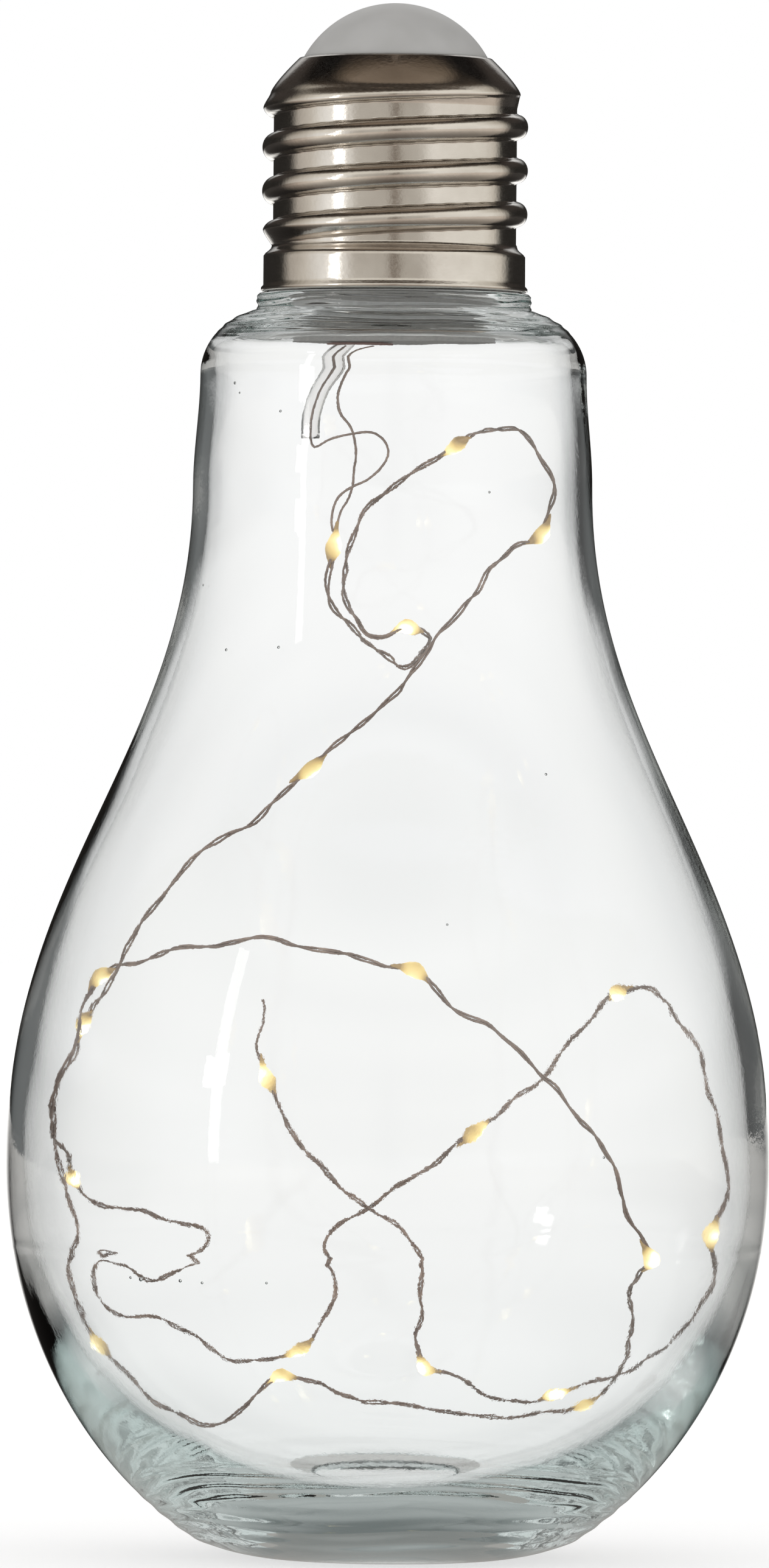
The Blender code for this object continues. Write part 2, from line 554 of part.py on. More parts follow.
# Battery holder
def build_holder(collection, cutters, parent):
    base = RIM_TOP_Z
    seal_top = -SEAL_TOP_DROP + GAP
    seal_bottom = -SEAL_TOP_DROP - SEAL_HEIGHT - GAP
    seal_seat = BORE_RADIUS - SEAL_DEPTH - 2 * GAP
    points = [
        (0, BOARD_SEAT_Z - base), (BOARD_POCKET_RADIUS, BOARD_SEAT_Z - base),
        (BOARD_POCKET_RADIUS, HOLDER_TOP_Z - base), (COLUMN_RADIUS, HOLDER_TOP_Z - base),
        (COLUMN_RADIUS, FLANGE_TOP_Z - base), (HOLDER_FLANGE_RADIUS, FLANGE_TOP_Z - base),
        (HOLDER_FLANGE_RADIUS, SHELL_BOTTOM_Z - base), (PLUG_RADIUS, SHELL_BOTTOM_Z - base),
        (PLUG_RADIUS, seal_top), (seal_seat, seal_top), (seal_seat, seal_bottom),
        (PLUG_RADIUS, seal_bottom), (PLUG_RADIUS, -PLUG_DEPTH), (0, -PLUG_DEPTH),
    ]
    holder = turned("battery_holder", points, "dark_plastic", collection, parent,
                    steps=MIDDLE_STEPS)
    below = -PLUG_DEPTH - CUT_PAST
    pocket_low = LUG_BOTTOM_Z - GAP - base
    pocket_high = DOOR_POCKET_TOP_Z - base
    well_points = [
        (0, WELL_TOP_Z - base), (WELL_RADIUS, WELL_TOP_Z - base), (WELL_RADIUS, pocket_high),
        (DOOR_POCKET_RADIUS, pocket_high), (DOOR_POCKET_RADIUS, pocket_low),
        (DOOR_MOUTH_RADIUS, pocket_low), (DOOR_MOUTH_RADIUS, below), (0, below),
    ]
    pocket_middle = (pocket_low + pocket_high) / 2
    slot_high = BOARD_SEAT_Z + CUT_PAST - base
    cuts = [
        hide_cutter(turned("cut_well", well_points, None, cutters, parent,
                           (WELL_X, WELL_Y, 0), steps=MIDDLE_STEPS)),
        box_cutter("cut_lug_way", (2 * DOOR_POCKET_RADIUS - GAP, LUG_WIDTH + 4 * GAP,
                                   pocket_middle - below),
                   (WELL_X, WELL_Y, (pocket_middle + below) / 2), cutters, parent, -DOOR_TURN),
        box_cutter("cut_strip_slot",
                   (CONTACT_THICKNESS + 2 * GAP, STRIP_WIDTH + 2 * GAP,
                    slot_high - pocket_middle),
                   (STRIP_X, WELL_Y, (slot_high + pocket_middle) / 2), cutters, parent),
        slot_cutter("cut_grommet_seat", GROMMET_RADIUS + GAP, below,
                    -PLUG_DEPTH + GROMMET_DEPTH + GAP, cutters, parent),
        slot_cutter("cut_wire_way", WIRE_HOLE_RADIUS, below, slot_high, cutters, parent),
    ]
    for cut in cuts:
        boolean(holder, cut)
    return holder


def slot_outline(radius, count=8):
    """Round-ended slot around the two leads, as (x, y) points."""
    left = Vector(LEAD_A_XY) * MM
    right = Vector(LEAD_B_XY) * MM
    points = []
    for centre, start in ((right, -math.pi / 2), (left, math.pi / 2)):
        for i in range(count + 1):
            turn = start + math.pi * i / count
            points.append((centre.x + radius * math.cos(turn),
                           centre.y + radius * math.sin(turn)))
    return points


def slot_mesh(name, radius, low, high):
    """A prism over the round-ended slot."""
    mesh = bpy.data.meshes.new(name)
    shape = bmesh.new()
    face = shape.faces.new([shape.verts.new((x, y, low)) for x, y in slot_outline(radius)])
    face.normal_flip()
    grown = bmesh.ops.extrude_face_region(shape, geom=[face])
    moved = [part for part in grown["geom"] if isinstance(part, bmesh.types.BMVert)]
    bmesh.ops.translate(shape, vec=(0, 0, high - low), verts=moved)
    bmesh.ops.recalc_face_normals(shape, faces=shape.faces)
    shape.to_mesh(mesh)
    shape.free()
    return mesh


def slot_cutter(name, radius, low, high, collection, parent):
    return hide_cutter(add_object(name, slot_mesh(name, radius, low, high), None, collection,
                                  parent))


# Other pieces of the cap
def build_seal(collection, parent):
    outer = BORE_RADIUS - GAP
    inner = outer - SEAL_DEPTH
    high = -SEAL_TOP_DROP
    low = high - SEAL_HEIGHT
    chamfer = 0.25 * SEAL_DEPTH
    points = [(inner, high), (outer - chamfer, high), (outer, high - chamfer),
              (outer, low + chamfer), (outer - chamfer, low), (inner, low)]
    return turned("seal_ring", points, "silicone", collection, parent, closed=True,
                  steps=MIDDLE_STEPS)


def build_cells(collection, parent):
    points = [(0, CELL_HEIGHT), (CELL_RADIUS - CELL_STEP - CELL_EDGE, CELL_HEIGHT),
              (CELL_RADIUS - CELL_STEP, CELL_HEIGHT - CELL_EDGE),
              (CELL_RADIUS - CELL_STEP, CELL_HEIGHT - 2 * CELL_EDGE),
              (CELL_RADIUS, CELL_HEIGHT - 3 * CELL_EDGE), (CELL_RADIUS, CELL_EDGE),
              (CELL_RADIUS - CELL_EDGE, 0), (0, 0)]
    for i in range(CELL_COUNT):
        low = CELLS_BOTTOM_Z - RIM_TOP_Z + i * (CELL_HEIGHT + CELL_GAP)
        turned(f"button_cell_{i + 1}", points, "steel", collection, parent,
               (WELL_X, WELL_Y, low))


def coil_points(radii, low, high, turns, per_turn):
    """A helix between two heights whose radius runs from the first to the second value."""
    count = round(turns * per_turn)
    points = []
    for i in range(count + 1):
        part = i / count
        angle = 2 * math.pi * turns * part
        radius = radii[0] + (radii[1] - radii[0]) * part
        points.append(Vector((radius * math.cos(angle), radius * math.sin(angle),
                              low + (high - low) * part)))
    return points


def tube(name, points, radius, finish, collection, parent=None, location=(0, 0, 0),
         resolution=2):
    curve = bpy.data.curves.new(name, "CURVE")
    curve.dimensions = "3D"
    curve.bevel_depth = radius
    curve.bevel_resolution = resolution
    curve.use_fill_caps = True
    spline = curve.splines.new("POLY")
    spline.points.add(len(points) - 1)
    for place, point in zip(spline.points, points):
        place.co = (*point, 1.0)
    return add_object(name, curve, finish, collection, parent, location)


def build_springs(collection, parent, button_parent):
    wire = CONTACT_SPRING_WIRE / 2
    contact = coil_points((CONTACT_SPRING_WIDE, CONTACT_SPRING_NARROW),
                          CELLS_TOP_Z - RIM_TOP_Z + GAP + wire,
                          WELL_TOP_Z - RIM_TOP_Z - GAP - wire, CONTACT_SPRING_TURNS, 10)
    tube("contact_spring", contact, wire, "spring_steel", collection, parent,
         (WELL_X, WELL_Y, 0), resolution=1)
    half = BUTTON_SPRING_WIRE / 2
    radius = DOME_RADIUS - half
    spring = coil_points((radius, radius), HOLDER_TOP_Z - RIM_TOP_Z + GAP + half,
                         BUTTON_FLANGE_BOTTOM_Z - RIM_TOP_Z - GAP - half,
                         BUTTON_SPRING_TURNS, 14)
    tube("button_spring", spring, half, "spring_steel", collection, button_parent, resolution=1)


def build_contact_strip(collection, parent):
    low = PLATE_TOP_Z + GAP
    high = BOARD_BOTTOM_Z - GAP
    mesh = box_mesh("contact_strip", (CONTACT_THICKNESS, STRIP_WIDTH, high - low))
    return add_object("contact_strip", mesh, "brass", collection, parent,
                      (STRIP_X, WELL_Y, (low + high) / 2 - RIM_TOP_Z))


def build_board(collection, cutters, parent):
    low = BOARD_BOTTOM_Z - RIM_TOP_Z
    radius = BOARD_POCKET_RADIUS - GAP
    points = [(0, low + BOARD_THICKNESS), (radius, low + BOARD_THICKNESS), (radius, low), (0, low)]
    board = turned("circuit_board", points, "board", collection, parent, steps=MIDDLE_STEPS)
    length, width, height = CHIP_SIZE
    chip = box_cutter("add_chip", (length, width, height + BOARD_THICKNESS / 2),
                      (CHIP_X, 0, low + BOARD_THICKNESS * 0.75 + height / 2), cutters, parent)
    boolean(board, chip, "UNION")
    return board


def build_switch(collection, cutters, parent, button_parent):
    low = SWITCH_BOTTOM_Z - RIM_TOP_Z
    high = SWITCH_TOP_Z - RIM_TOP_Z
    body = add_object("push_switch", box_mesh("push_switch", (SWITCH_WIDTH, SWITCH_WIDTH,
                                                              SWITCH_HEIGHT)),
                      "black_plastic", collection, parent, (0, 0, (low + high) / 2))
    edge = body.modifiers.new("edge", "BEVEL")
    edge.width = SMALL_EDGE
    edge.segments = 1
    edge.limit_method = "ANGLE"
    boolean(body, cylinder_cutter("cut_plunger_socket", PLUNGER_RADIUS + GAP,
                                  high - PLUNGER_SOCKET, high + CUT_PAST, cutters, parent))
    top = PLUNGER_TOP_Z - RIM_TOP_Z
    bottom = high - PLUNGER_SOCKET + BUTTON_TRAVEL + GAP
    points = [(0, top), (PLUNGER_RADIUS - SMALL_EDGE, top), (PLUNGER_RADIUS, top - SMALL_EDGE),
              (PLUNGER_RADIUS, bottom), (0, bottom)]
    turned("switch_plunger", points, "white_plastic", collection, button_parent)


def build_button(collection, parent):
    """Frosted dome with its skirt, retaining flange and inner boss, turned in one piece."""
    base = RIM_TOP_Z
    dome_base = DOME_BASE_Z - base
    sphere = (DOME_RADIUS ** 2 + DOME_HEIGHT ** 2) / (2 * DOME_HEIGHT)
    centre = dome_base + DOME_HEIGHT - sphere
    reach = math.asin(DOME_RADIUS / sphere)
    outer_turns = [reach * i / DOME_ROWS for i in range(DOME_ROWS + 1)]
    outer = [(sphere * math.sin(turn), centre + sphere * math.cos(turn)) for turn in outer_turns]
    inner_sphere = sphere - DOME_WALL
    inner_radius = DOME_RADIUS - DOME_WALL
    inner_reach = math.asin(inner_radius / inner_sphere)
    boss_reach = math.asin(BOSS_RADIUS / inner_sphere)
    inner_turns = [inner_reach + (boss_reach - inner_reach) * i / (DOME_ROWS - 2)
                   for i in range(DOME_ROWS - 1)]
    inner = [(inner_sphere * math.sin(turn), centre + inner_sphere * math.cos(turn))
             for turn in inner_turns]
    flange_radius = DOME_RADIUS + BUTTON_FLANGE
    flange_top = BUTTON_FLANGE_TOP_Z - base
    flange_bottom = BUTTON_FLANGE_BOTTOM_Z - base
    boss_bottom = PLUNGER_TOP_Z - base + GAP
    points = outer + [
        (DOME_RADIUS, flange_top), (flange_radius, flange_top), (flange_radius, flange_bottom),
        (inner_radius, flange_bottom)] + inner + [(BOSS_RADIUS, boss_bottom), (0, boss_bottom)]
    return turned("dome_button", points, "frosted", collection, parent, steps=MIDDLE_STEPS)


def build_door(collection, cutters, parent):
    """Round battery door with two bayonet lugs and a coin slot; its axis is the well's."""
    base = RIM_TOP_Z
    low = -PLUG_DEPTH
    high = DOOR_TOP_Z - base
    points = [(0, high), (DOOR_RADIUS, high), (DOOR_RADIUS, low + SMALL_EDGE),
              (DOOR_RADIUS - SMALL_EDGE, low), (0, low)]
    door = turned("battery_door", points, "dark_plastic", collection, parent,
                  steps=MIDDLE_STEPS)
    lug_low = LUG_BOTTOM_Z - base
    lugs = box_cutter("add_lugs", (2 * (DOOR_RADIUS + LUG_REACH) - GAP, LUG_WIDTH,
                                   high - lug_low),
                      (0, 0, (high + lug_low) / 2), cutters, parent)
    boolean(door, lugs, "UNION")
    slot = box_cutter("cut_coin_slot", (COIN_SLOT_LENGTH, COIN_SLOT_WIDTH, 2 * COIN_SLOT_DEPTH),
                      (0, 0, low), cutters, parent)
    boolean(door, slot)
    plate_radius = DOOR_RADIUS - GAP
    low = PLATE_BOTTOM_Z - base
    high = PLATE_TOP_Z - base
    points = [(0, high), (plate_radius, high), (plate_radius, low), (0, low)]
    turned("contact_plate", points, "brass", collection, parent)
    return door


def build_grommet(collection, cutters, parent):
    low = -PLUG_DEPTH - GROMMET_LIP - GAP
    body = add_object("wire_grommet",
                      slot_mesh("wire_grommet", GROMMET_RADIUS, low + 0.5 * GROMMET_LIP,
                                -PLUG_DEPTH + GROMMET_DEPTH - GAP),
                      "rubber", collection, parent)
    lip = slot_cutter("add_lip", GROMMET_RADIUS + GROMMET_LIP, low, low + GROMMET_LIP, cutters,
                      parent)
    boolean(body, lip, "UNION")
    holes = ((LEAD_A_XY, SLEEVE_RADIUS + GAP), (LEAD_B_XY, LEAD_DIAMETER / 2 + GAP))
    for i, (place, radius) in enumerate(holes):
        spot = (place[0] * MM, place[1] * MM)
        boolean(body, cylinder_cutter(f"cut_grommet_hole_{i + 1}", radius, low - CUT_PAST,
                                      GROMMET_DEPTH, cutters, parent, spot, steps=HOLE_STEPS))
    return body


# The string of lights
def smooth_route(points, spacing):
    """Evenly spaced points on a curve through the given ones (Catmull-Rom)."""
    places = [Vector(point) * MM for point in points]
    places = [2 * places[0] - places[1], *places, 2 * places[-1] - places[-2]]
    fine = []
    for a, b, c, d in zip(places, places[1:], places[2:], places[3:]):
        for i in range(12):
            t = i / 12
            fine.append(0.5 * (2 * b + (c - a) * t + (2 * a - 5 * b + 4 * c - d) * t * t
                               + (3 * b - a - 3 * c + d) * t ** 3))
    fine.append(places[-2])
    return resample(fine, spacing)


def run_lengths(points):
    """The length along a line up to each of its points."""
    lengths = [0.0]
    for a, b in zip(points, points[1:]):
        lengths.append(lengths[-1] + (b - a).length)
    return lengths


def resample(points, spacing):
    lengths = run_lengths(points)
    count = max(2, round(lengths[-1] / spacing) + 1)
    result = []
    k = 0
    for i in range(count):
        target = lengths[-1] * i / (count - 1)
        while k < len(lengths) - 2 and lengths[k + 1] < target:
            k += 1
        part = (target - lengths[k]) / max(lengths[k + 1] - lengths[k], 1e-9)
        result.append(points[k].lerp(points[k + 1], part))
    return result


def trimmed(points, start, end):
    """Cut a fine line back by a length at each end."""
    lengths = run_lengths(points)
    last = lengths[-1] - end
    return [point for point, along in zip(points, lengths) if start <= along <= last]


def drop_mesh():
    mesh = bpy.data.meshes.new("drop")
    shape = bmesh.new()
    bmesh.ops.create_uvsphere(shape, u_segments=8, v_segments=6, radius=0.5)
    bmesh.ops.scale(shape, vec=(DROP_DIAMETER, DROP_DIAMETER, DROP_LENGTH), verts=shape.verts)
    shape.to_mesh(mesh)
    shape.free()
    smooth(mesh, 60)
    mesh.materials.append(finish_of("resin"))
    return mesh


def build_string(collection, parent):
    """Leads, drops and the wire pairs between them, hung at the rim height of the route."""
    place = (0, 0, -ROUTE_RIM_Z * MM)
    for name, route in (("lead_sleeved", LEAD_A_ROUTE), ("lead_bare", LEAD_B_ROUTE)):
        tube(name, smooth_route(route, LEAD_SPACING), LEAD_DIAMETER / 2, "enamelled_copper",
             collection, parent, place)
    knots = [LEAD_A_ROUTE[-1]]
    for drop, stretch in zip(DROPS, STRETCHES):
        knots += [drop, *stretch]
    whole = smooth_route(knots, FINE_SPACING)
    ends = []
    for drop in DROPS:
        spot = Vector(drop) * MM
        ends.append(min(range(len(whole)), key=lambda k: (whole[k] - spot).length))
    shared = drop_mesh()
    half = DROP_LENGTH / 2
    reach = round(half / FINE_SPACING)
    for i, middle in enumerate(ends):
        first = max(0, middle - reach)
        last = min(len(whole) - 1, middle + reach)
        lean = (whole[last] - whole[first]).normalized()
        drop = add_object(f"light_{i + 1:02d}", shared, None, collection, parent,
                          whole[middle] + Vector(place))
        drop.rotation_mode = "QUATERNION"
        drop.rotation_quaternion = lean.to_track_quat("Z", "Y")
        stop = ends[i + 1] if i + 1 < len(ends) else len(whole) - 1
        keep = half + 1.5 * GAP
        stretch = trimmed(whole[middle:stop + 1], keep, keep if i + 1 < len(ends) else 0)
        tube(f"wire_{i + 1:02d}", resample(stretch, PAIR_SPACING), PAIR_DIAMETER / 2,
             "enamelled_copper", collection, parent, place)


def to_mesh_object(curve_item):
    """Turn a tube into a mesh whose caps are welded, keeping its name and place."""
    graph = bpy.context.evaluated_depsgraph_get()
    mesh = bpy.data.meshes.new_from_object(curve_item.evaluated_get(graph))
    shape = bmesh.new()
    shape.from_mesh(mesh)
    bmesh.ops.remove_doubles(shape, verts=shape.verts, dist=0.000001)
    shape.to_mesh(mesh)
    shape.free()
    name = curve_item.name
    matrix = curve_item.matrix_world.copy()
    collection = curve_item.users_collection[0]
    parent = curve_item.parent
    bpy.data.objects.remove(curve_item, do_unlink=True)
    item = bpy.data.objects.new(name, mesh)
    collection.objects.link(item)
    item.parent = parent
    item.matrix_world = matrix
    return item


def build_sleeve(collection, cutters, parent):
    place = (0, 0, -ROUTE_RIM_Z * MM)
    route = smooth_route(SLEEVE_ROUTE, SLEEVE_SPACING)
    longer = [route[0] + Vector((0, 0, CUT_PAST)), *route[1:-1],
              route[-1] + (route[-1] - route[-2]).normalized() * CUT_PAST]
    outer = tube("clear_sleeve", route, SLEEVE_RADIUS, "clear_vinyl", collection, parent, place)
    inner = tube("cut_sleeve_bore", longer, SLEEVE_RADIUS - SLEEVE_WALL, None, cutters, parent,
                 place)
    bpy.context.view_layer.update()
    sleeve = to_mesh_object(outer)
    bore = hide_cutter(to_mesh_object(inner))
    boolean(sleeve, bore)
    return sleeve


def main():
    clear_scene()
    lamp = bpy.data.collections.new("light_bulb_lamp")
    cutters = bpy.data.collections.new("cutters")
    for collection in (lamp, cutters):
        bpy.context.scene.collection.children.link(collection)
    table = add_empty("table_frame", lamp, (0, 0, 0))
    cap = add_empty("cap_frame", lamp, (0, 0, RIM_TOP_Z), table)
    button = add_empty("button_frame", lamp, (0, 0, 0), cap)
    door = add_empty("door_frame", lamp, (WELL_X, WELL_Y, 0), cap)
    build_glass(lamp, table)
    build_cap_shell(lamp, cap)
    build_holder(lamp, cutters, cap)
    build_seal(lamp, cap)
    build_cells(lamp, cap)
    build_springs(lamp, cap, cap)
    build_contact_strip(lamp, cap)
    build_board(lamp, cutters, cap)
    build_switch(lamp, cutters, cap, button)
    build_button(lamp, button)
    build_door(lamp, cutters, door)
    build_grommet(lamp, cutters, cap)
    build_sleeve(lamp, cutters, cap)
    build_string(lamp, cap)


main()
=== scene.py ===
"""Looks of a battery light shaped like a large light bulb.

A wavy, thick-walled glass bulb, a polished metal cap with a frosted button, and a string of
resin-drop lights on two fine enamelled wires.  Units are metres, +Z is up.
"""
import math
import random

import bmesh
import bpy
from mathutils import Matrix, Quaternion, Vector, noise


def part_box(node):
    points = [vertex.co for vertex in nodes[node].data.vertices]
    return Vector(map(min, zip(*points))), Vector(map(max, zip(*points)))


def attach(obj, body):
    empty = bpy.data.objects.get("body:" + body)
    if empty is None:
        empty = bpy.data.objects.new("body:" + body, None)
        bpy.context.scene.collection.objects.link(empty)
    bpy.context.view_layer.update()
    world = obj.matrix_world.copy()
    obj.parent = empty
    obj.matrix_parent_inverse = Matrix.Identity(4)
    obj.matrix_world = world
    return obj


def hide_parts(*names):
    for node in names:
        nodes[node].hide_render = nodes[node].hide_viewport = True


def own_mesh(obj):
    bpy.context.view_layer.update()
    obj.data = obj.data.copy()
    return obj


MM = 0.001
GAP = 0.0003

# The frame
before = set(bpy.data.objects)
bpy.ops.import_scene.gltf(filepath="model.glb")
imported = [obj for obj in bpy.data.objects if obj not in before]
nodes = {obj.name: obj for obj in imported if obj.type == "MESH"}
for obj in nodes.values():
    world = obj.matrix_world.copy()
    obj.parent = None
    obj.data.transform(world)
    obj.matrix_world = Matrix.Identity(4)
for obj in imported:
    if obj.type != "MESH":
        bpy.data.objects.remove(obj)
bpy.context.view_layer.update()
glass_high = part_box("glass_bulb")[1]
shell_low, shell_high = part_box("cap_shell")
button_low, button_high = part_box("dome_button")

# Glass bulb: the widths and heights that shape its wall
BULB_RADIUS = glass_high.x
RIM_TOP_Z = glass_high.z
BULB_WIDEST_Z = 0.0596
HEEL_RADIUS = 0.0296
HEEL_HEIGHT = 0.0032
HEEL_PULL = 0.0025
HEEL_SPREAD = 0.0040
HEEL_LIFT = 0.0003
FOOT_RADIUS = 0.0180
FOOT_RING_WIDTH = 0.0050
PUSH_UP = 0.0016
NECK_RADIUS = 0.0302
NECK_WAIST_Z = 0.1617
RIM_RADIUS = 0.0207
RIM_HEIGHT = 0.0022
RIM_EDGE = 0.0003
SHOULDER_HEIGHT = 0.0100
SHOULDER_INSET = 0.0025
SHOULDER_NECK_RADIUS = 0.0292
BELLY_PULL = 0.0445
NECK_PULL = 0.0400
BELLY_WALL = 0.0032
NECK_WALL = 0.0022
FLOOR_THICKNESS = 0.0052
BORE_RADIUS = 0.0162
SHOULDER_WALL = 0.0038
INNER_CORNER = 0.0045
FLOOR_SQUARENESS = 2.12
GLASS_STEPS = 180
SEAM_Z = 0.0467
SEAM_HEIGHT = 0.000040
SEAM_WIDTH = 0.0004

# Waviness of the glass: size, lumps per turn, lumps per metre of height, seed
INNER_LUMPS = (0.00034, 5, 22, 1.3)
INNER_RIPPLES = (0.00015, 15, 70, 7.7)
INNER_STREAKS = (0.00002, 70, 15, 2.2)
MOUTH_RIPPLES = (0.00010, 30, 300, 3.1)
OUTER_LUMPS = (0.00004, 7, 30, 5.2)
SHOULDER_RIPPLES = (0.00016, 36, 900, 4.4)
RING_BEND = (1.0, 12, 60, 9.4)
RING_SIZE = 0.00011
SHOULDER_RING_PITCH = 0.0011
HEEL_RING_PITCH = 0.0021
MOUTH_ROUGH_Z = 0.181
SHOULDER_ROUGH_Z = 0.1845
HEEL_ROUGH_Z = 0.0105
CALM_RADIUS = 0.012
WAIST_BAND = 0.003
WAIST_INSET = 0.00006
WELD_DISTANCE = 0.0000005

# Bubbles in the front wall, in millimetres: offset to the right, height and radius
BUBBLES = ((-23.3, 176.7, 0.28), (-22.6, 175.2, 0.20), (-16.6, 172.3, 0.24), (-27.7, 146.3, 0.20),
           (-24.3, 136.5, 0.26), (-16.6, 136.9, 0.26), (14.2, 160.4, 0.22), (22.8, 118.2, 0.24),
           (-37.4, 43.7, 0.24), (-35.9, 43.5, 0.36), (-30.1, 43.5, 0.30), (-26.9, 43.3, 0.24),
           (-17.5, 43.5, 0.22), (31.5, 62.0, 0.22), (8.4, 96.0, 0.20))

# Metal cap
SHELL_BOTTOM_Z = shell_low.z
SHELL_TOP_Z = shell_high.z
CREST_RADIUS = shell_high.x
SHEET = 0.0005
SKIRT_RADIUS = 0.0198
SKIRT_HEIGHT = 0.0064
GROOVE_RADIUS = 0.0187
ROOT_RADIUS = 0.0184
THREAD_PITCH = 0.0066
THREAD_HEIGHT = 0.0237
THREAD_START = 0.0055
THREAD_RUN_IN = 0.0030
THREAD_RUN_OUT = 0.0023
RIDGE_SHARE = 0.58
CONE_BASE_RADIUS = 0.0189
CONE_TOP_RADIUS = 0.0146
CONE_ROUNDNESS = 1.25
THREAD_BOTTOM_Z = SHELL_BOTTOM_Z + SKIRT_HEIGHT
CONE_BOTTOM_Z = THREAD_BOTTOM_Z + THREAD_HEIGHT
CONE_HEIGHT = SHELL_TOP_Z - CONE_BOTTOM_Z

# String of lights, in millimetres like its route, which was laid out for one rim height
ROUTE_RIM_Z = 187.6
ROUTE_LIFT = Vector((0, 0, RIM_TOP_Z / MM - ROUTE_RIM_Z))
STRAND_RADIUS = 0.19
PAIR_SPREAD = 0.30
TWIST_PITCH = 13.0
TWIST_DRIFT = 2.4
TWIST_DRIFT_RATE = 0.03
SPREAD_DRIFT = 0.3
SPREAD_DRIFT_RATE = 0.09
STRAND_SPACING = 0.8
FINE_SPACING = 0.2
KINK_RATE = 0.22
KINK_SIZE = 0.42
OWN_RATE = 0.45
OWN_SIZE = 0.14
KINK_SEED = 4
PAIR_START = 4.0
DROP_LENGTH = 7.4
DROP_DIAMETER = 2.4
DROP_NECK = 0.20
DROP_FULLNESS = 2.6
DROP_REACH = 12
DROP_SEED = 11
SLEEVE_RADIUS = 1.45
SLEEVE_WALL = 0.3

SLEEVE_ROUTE = [
    (-7.3, -5.0, 182.0), (-7.3, -5.0, 179.6), (-8.9, -5.3, 176.6), (-11.1, -5.7, 173.0),
    (-12.3, -6.0, 169.0), (-12.4, -6.1, 165.3),
]
LEAD_A_ROUTE = [
    (-7.3, -5.0, 179.0), (-8.9, -5.3, 176.4), (-11.1, -5.7, 173.0), (-12.3, -6.0, 169.0),
    (-12.4, -6.1, 165.5), (-11.7, -6.7, 163.9), (-9.0, -8.0, 165.2), (-5.9, -9.0, 165.9),
    (-3.2, -10.0, 166.1), (-1.4, -10.6, 164.9), (-0.8, -11.0, 163.0), (-1.8, -11.3, 160.9),
    (-3.8, -11.6, 159.1), (-6.1, -11.9, 158.0), (-7.9, -12.1, 156.6), (-8.7, -12.2, 154.6),
    (-8.9, -12.2, 152.4),
]
LEAD_B_ROUTE = [
    (-2.9, -5.0, 179.0), (-5.6, -5.0, 177.6), (-7.4, -4.9, 175.4), (-8.3, -4.8, 172.9),
    (-8.4, -4.8, 171.0), (-7.9, -5.0, 169.0), (-6.7, -5.4, 167.5), (-5.9, -6.0, 165.7),
    (-5.5, -7.0, 163.0), (-5.8, -8.4, 160.5), (-6.0, -9.6, 158.2), (-6.6, -10.8, 156.2),
    (-7.6, -11.7, 154.4), (-8.1, -12.0, 152.4),
]
DROPS = [
    (-8.6, -12.0, 149.4), (2.0, -8.0, 137.2), (9.1, 4.0, 164.4), (22.3, -6.0, 151.4),
    (-11.8, -23.0, 115.3), (-46.0, -3.0, 76.7), (-44.0, -4.0, 26.4), (-16.0, -11.0, 22.8),
    (31.0, 8.0, 14.8), (38.6, -28.0, 43.4), (3.6, -31.0, 85.7), (-43.0, -8.0, 83.9),
    (-48.3, 14.0, 54.1), (-13.8, 16.0, 24.0), (13.4, 18.0, 60.7), (35.6, 19.0, 81.7),
    (48.6, -1.0, 45.6), (26.5, 13.0, 16.6), (6.3, 9.0, 21.9), (-19.0, 13.0, 68.8),
]
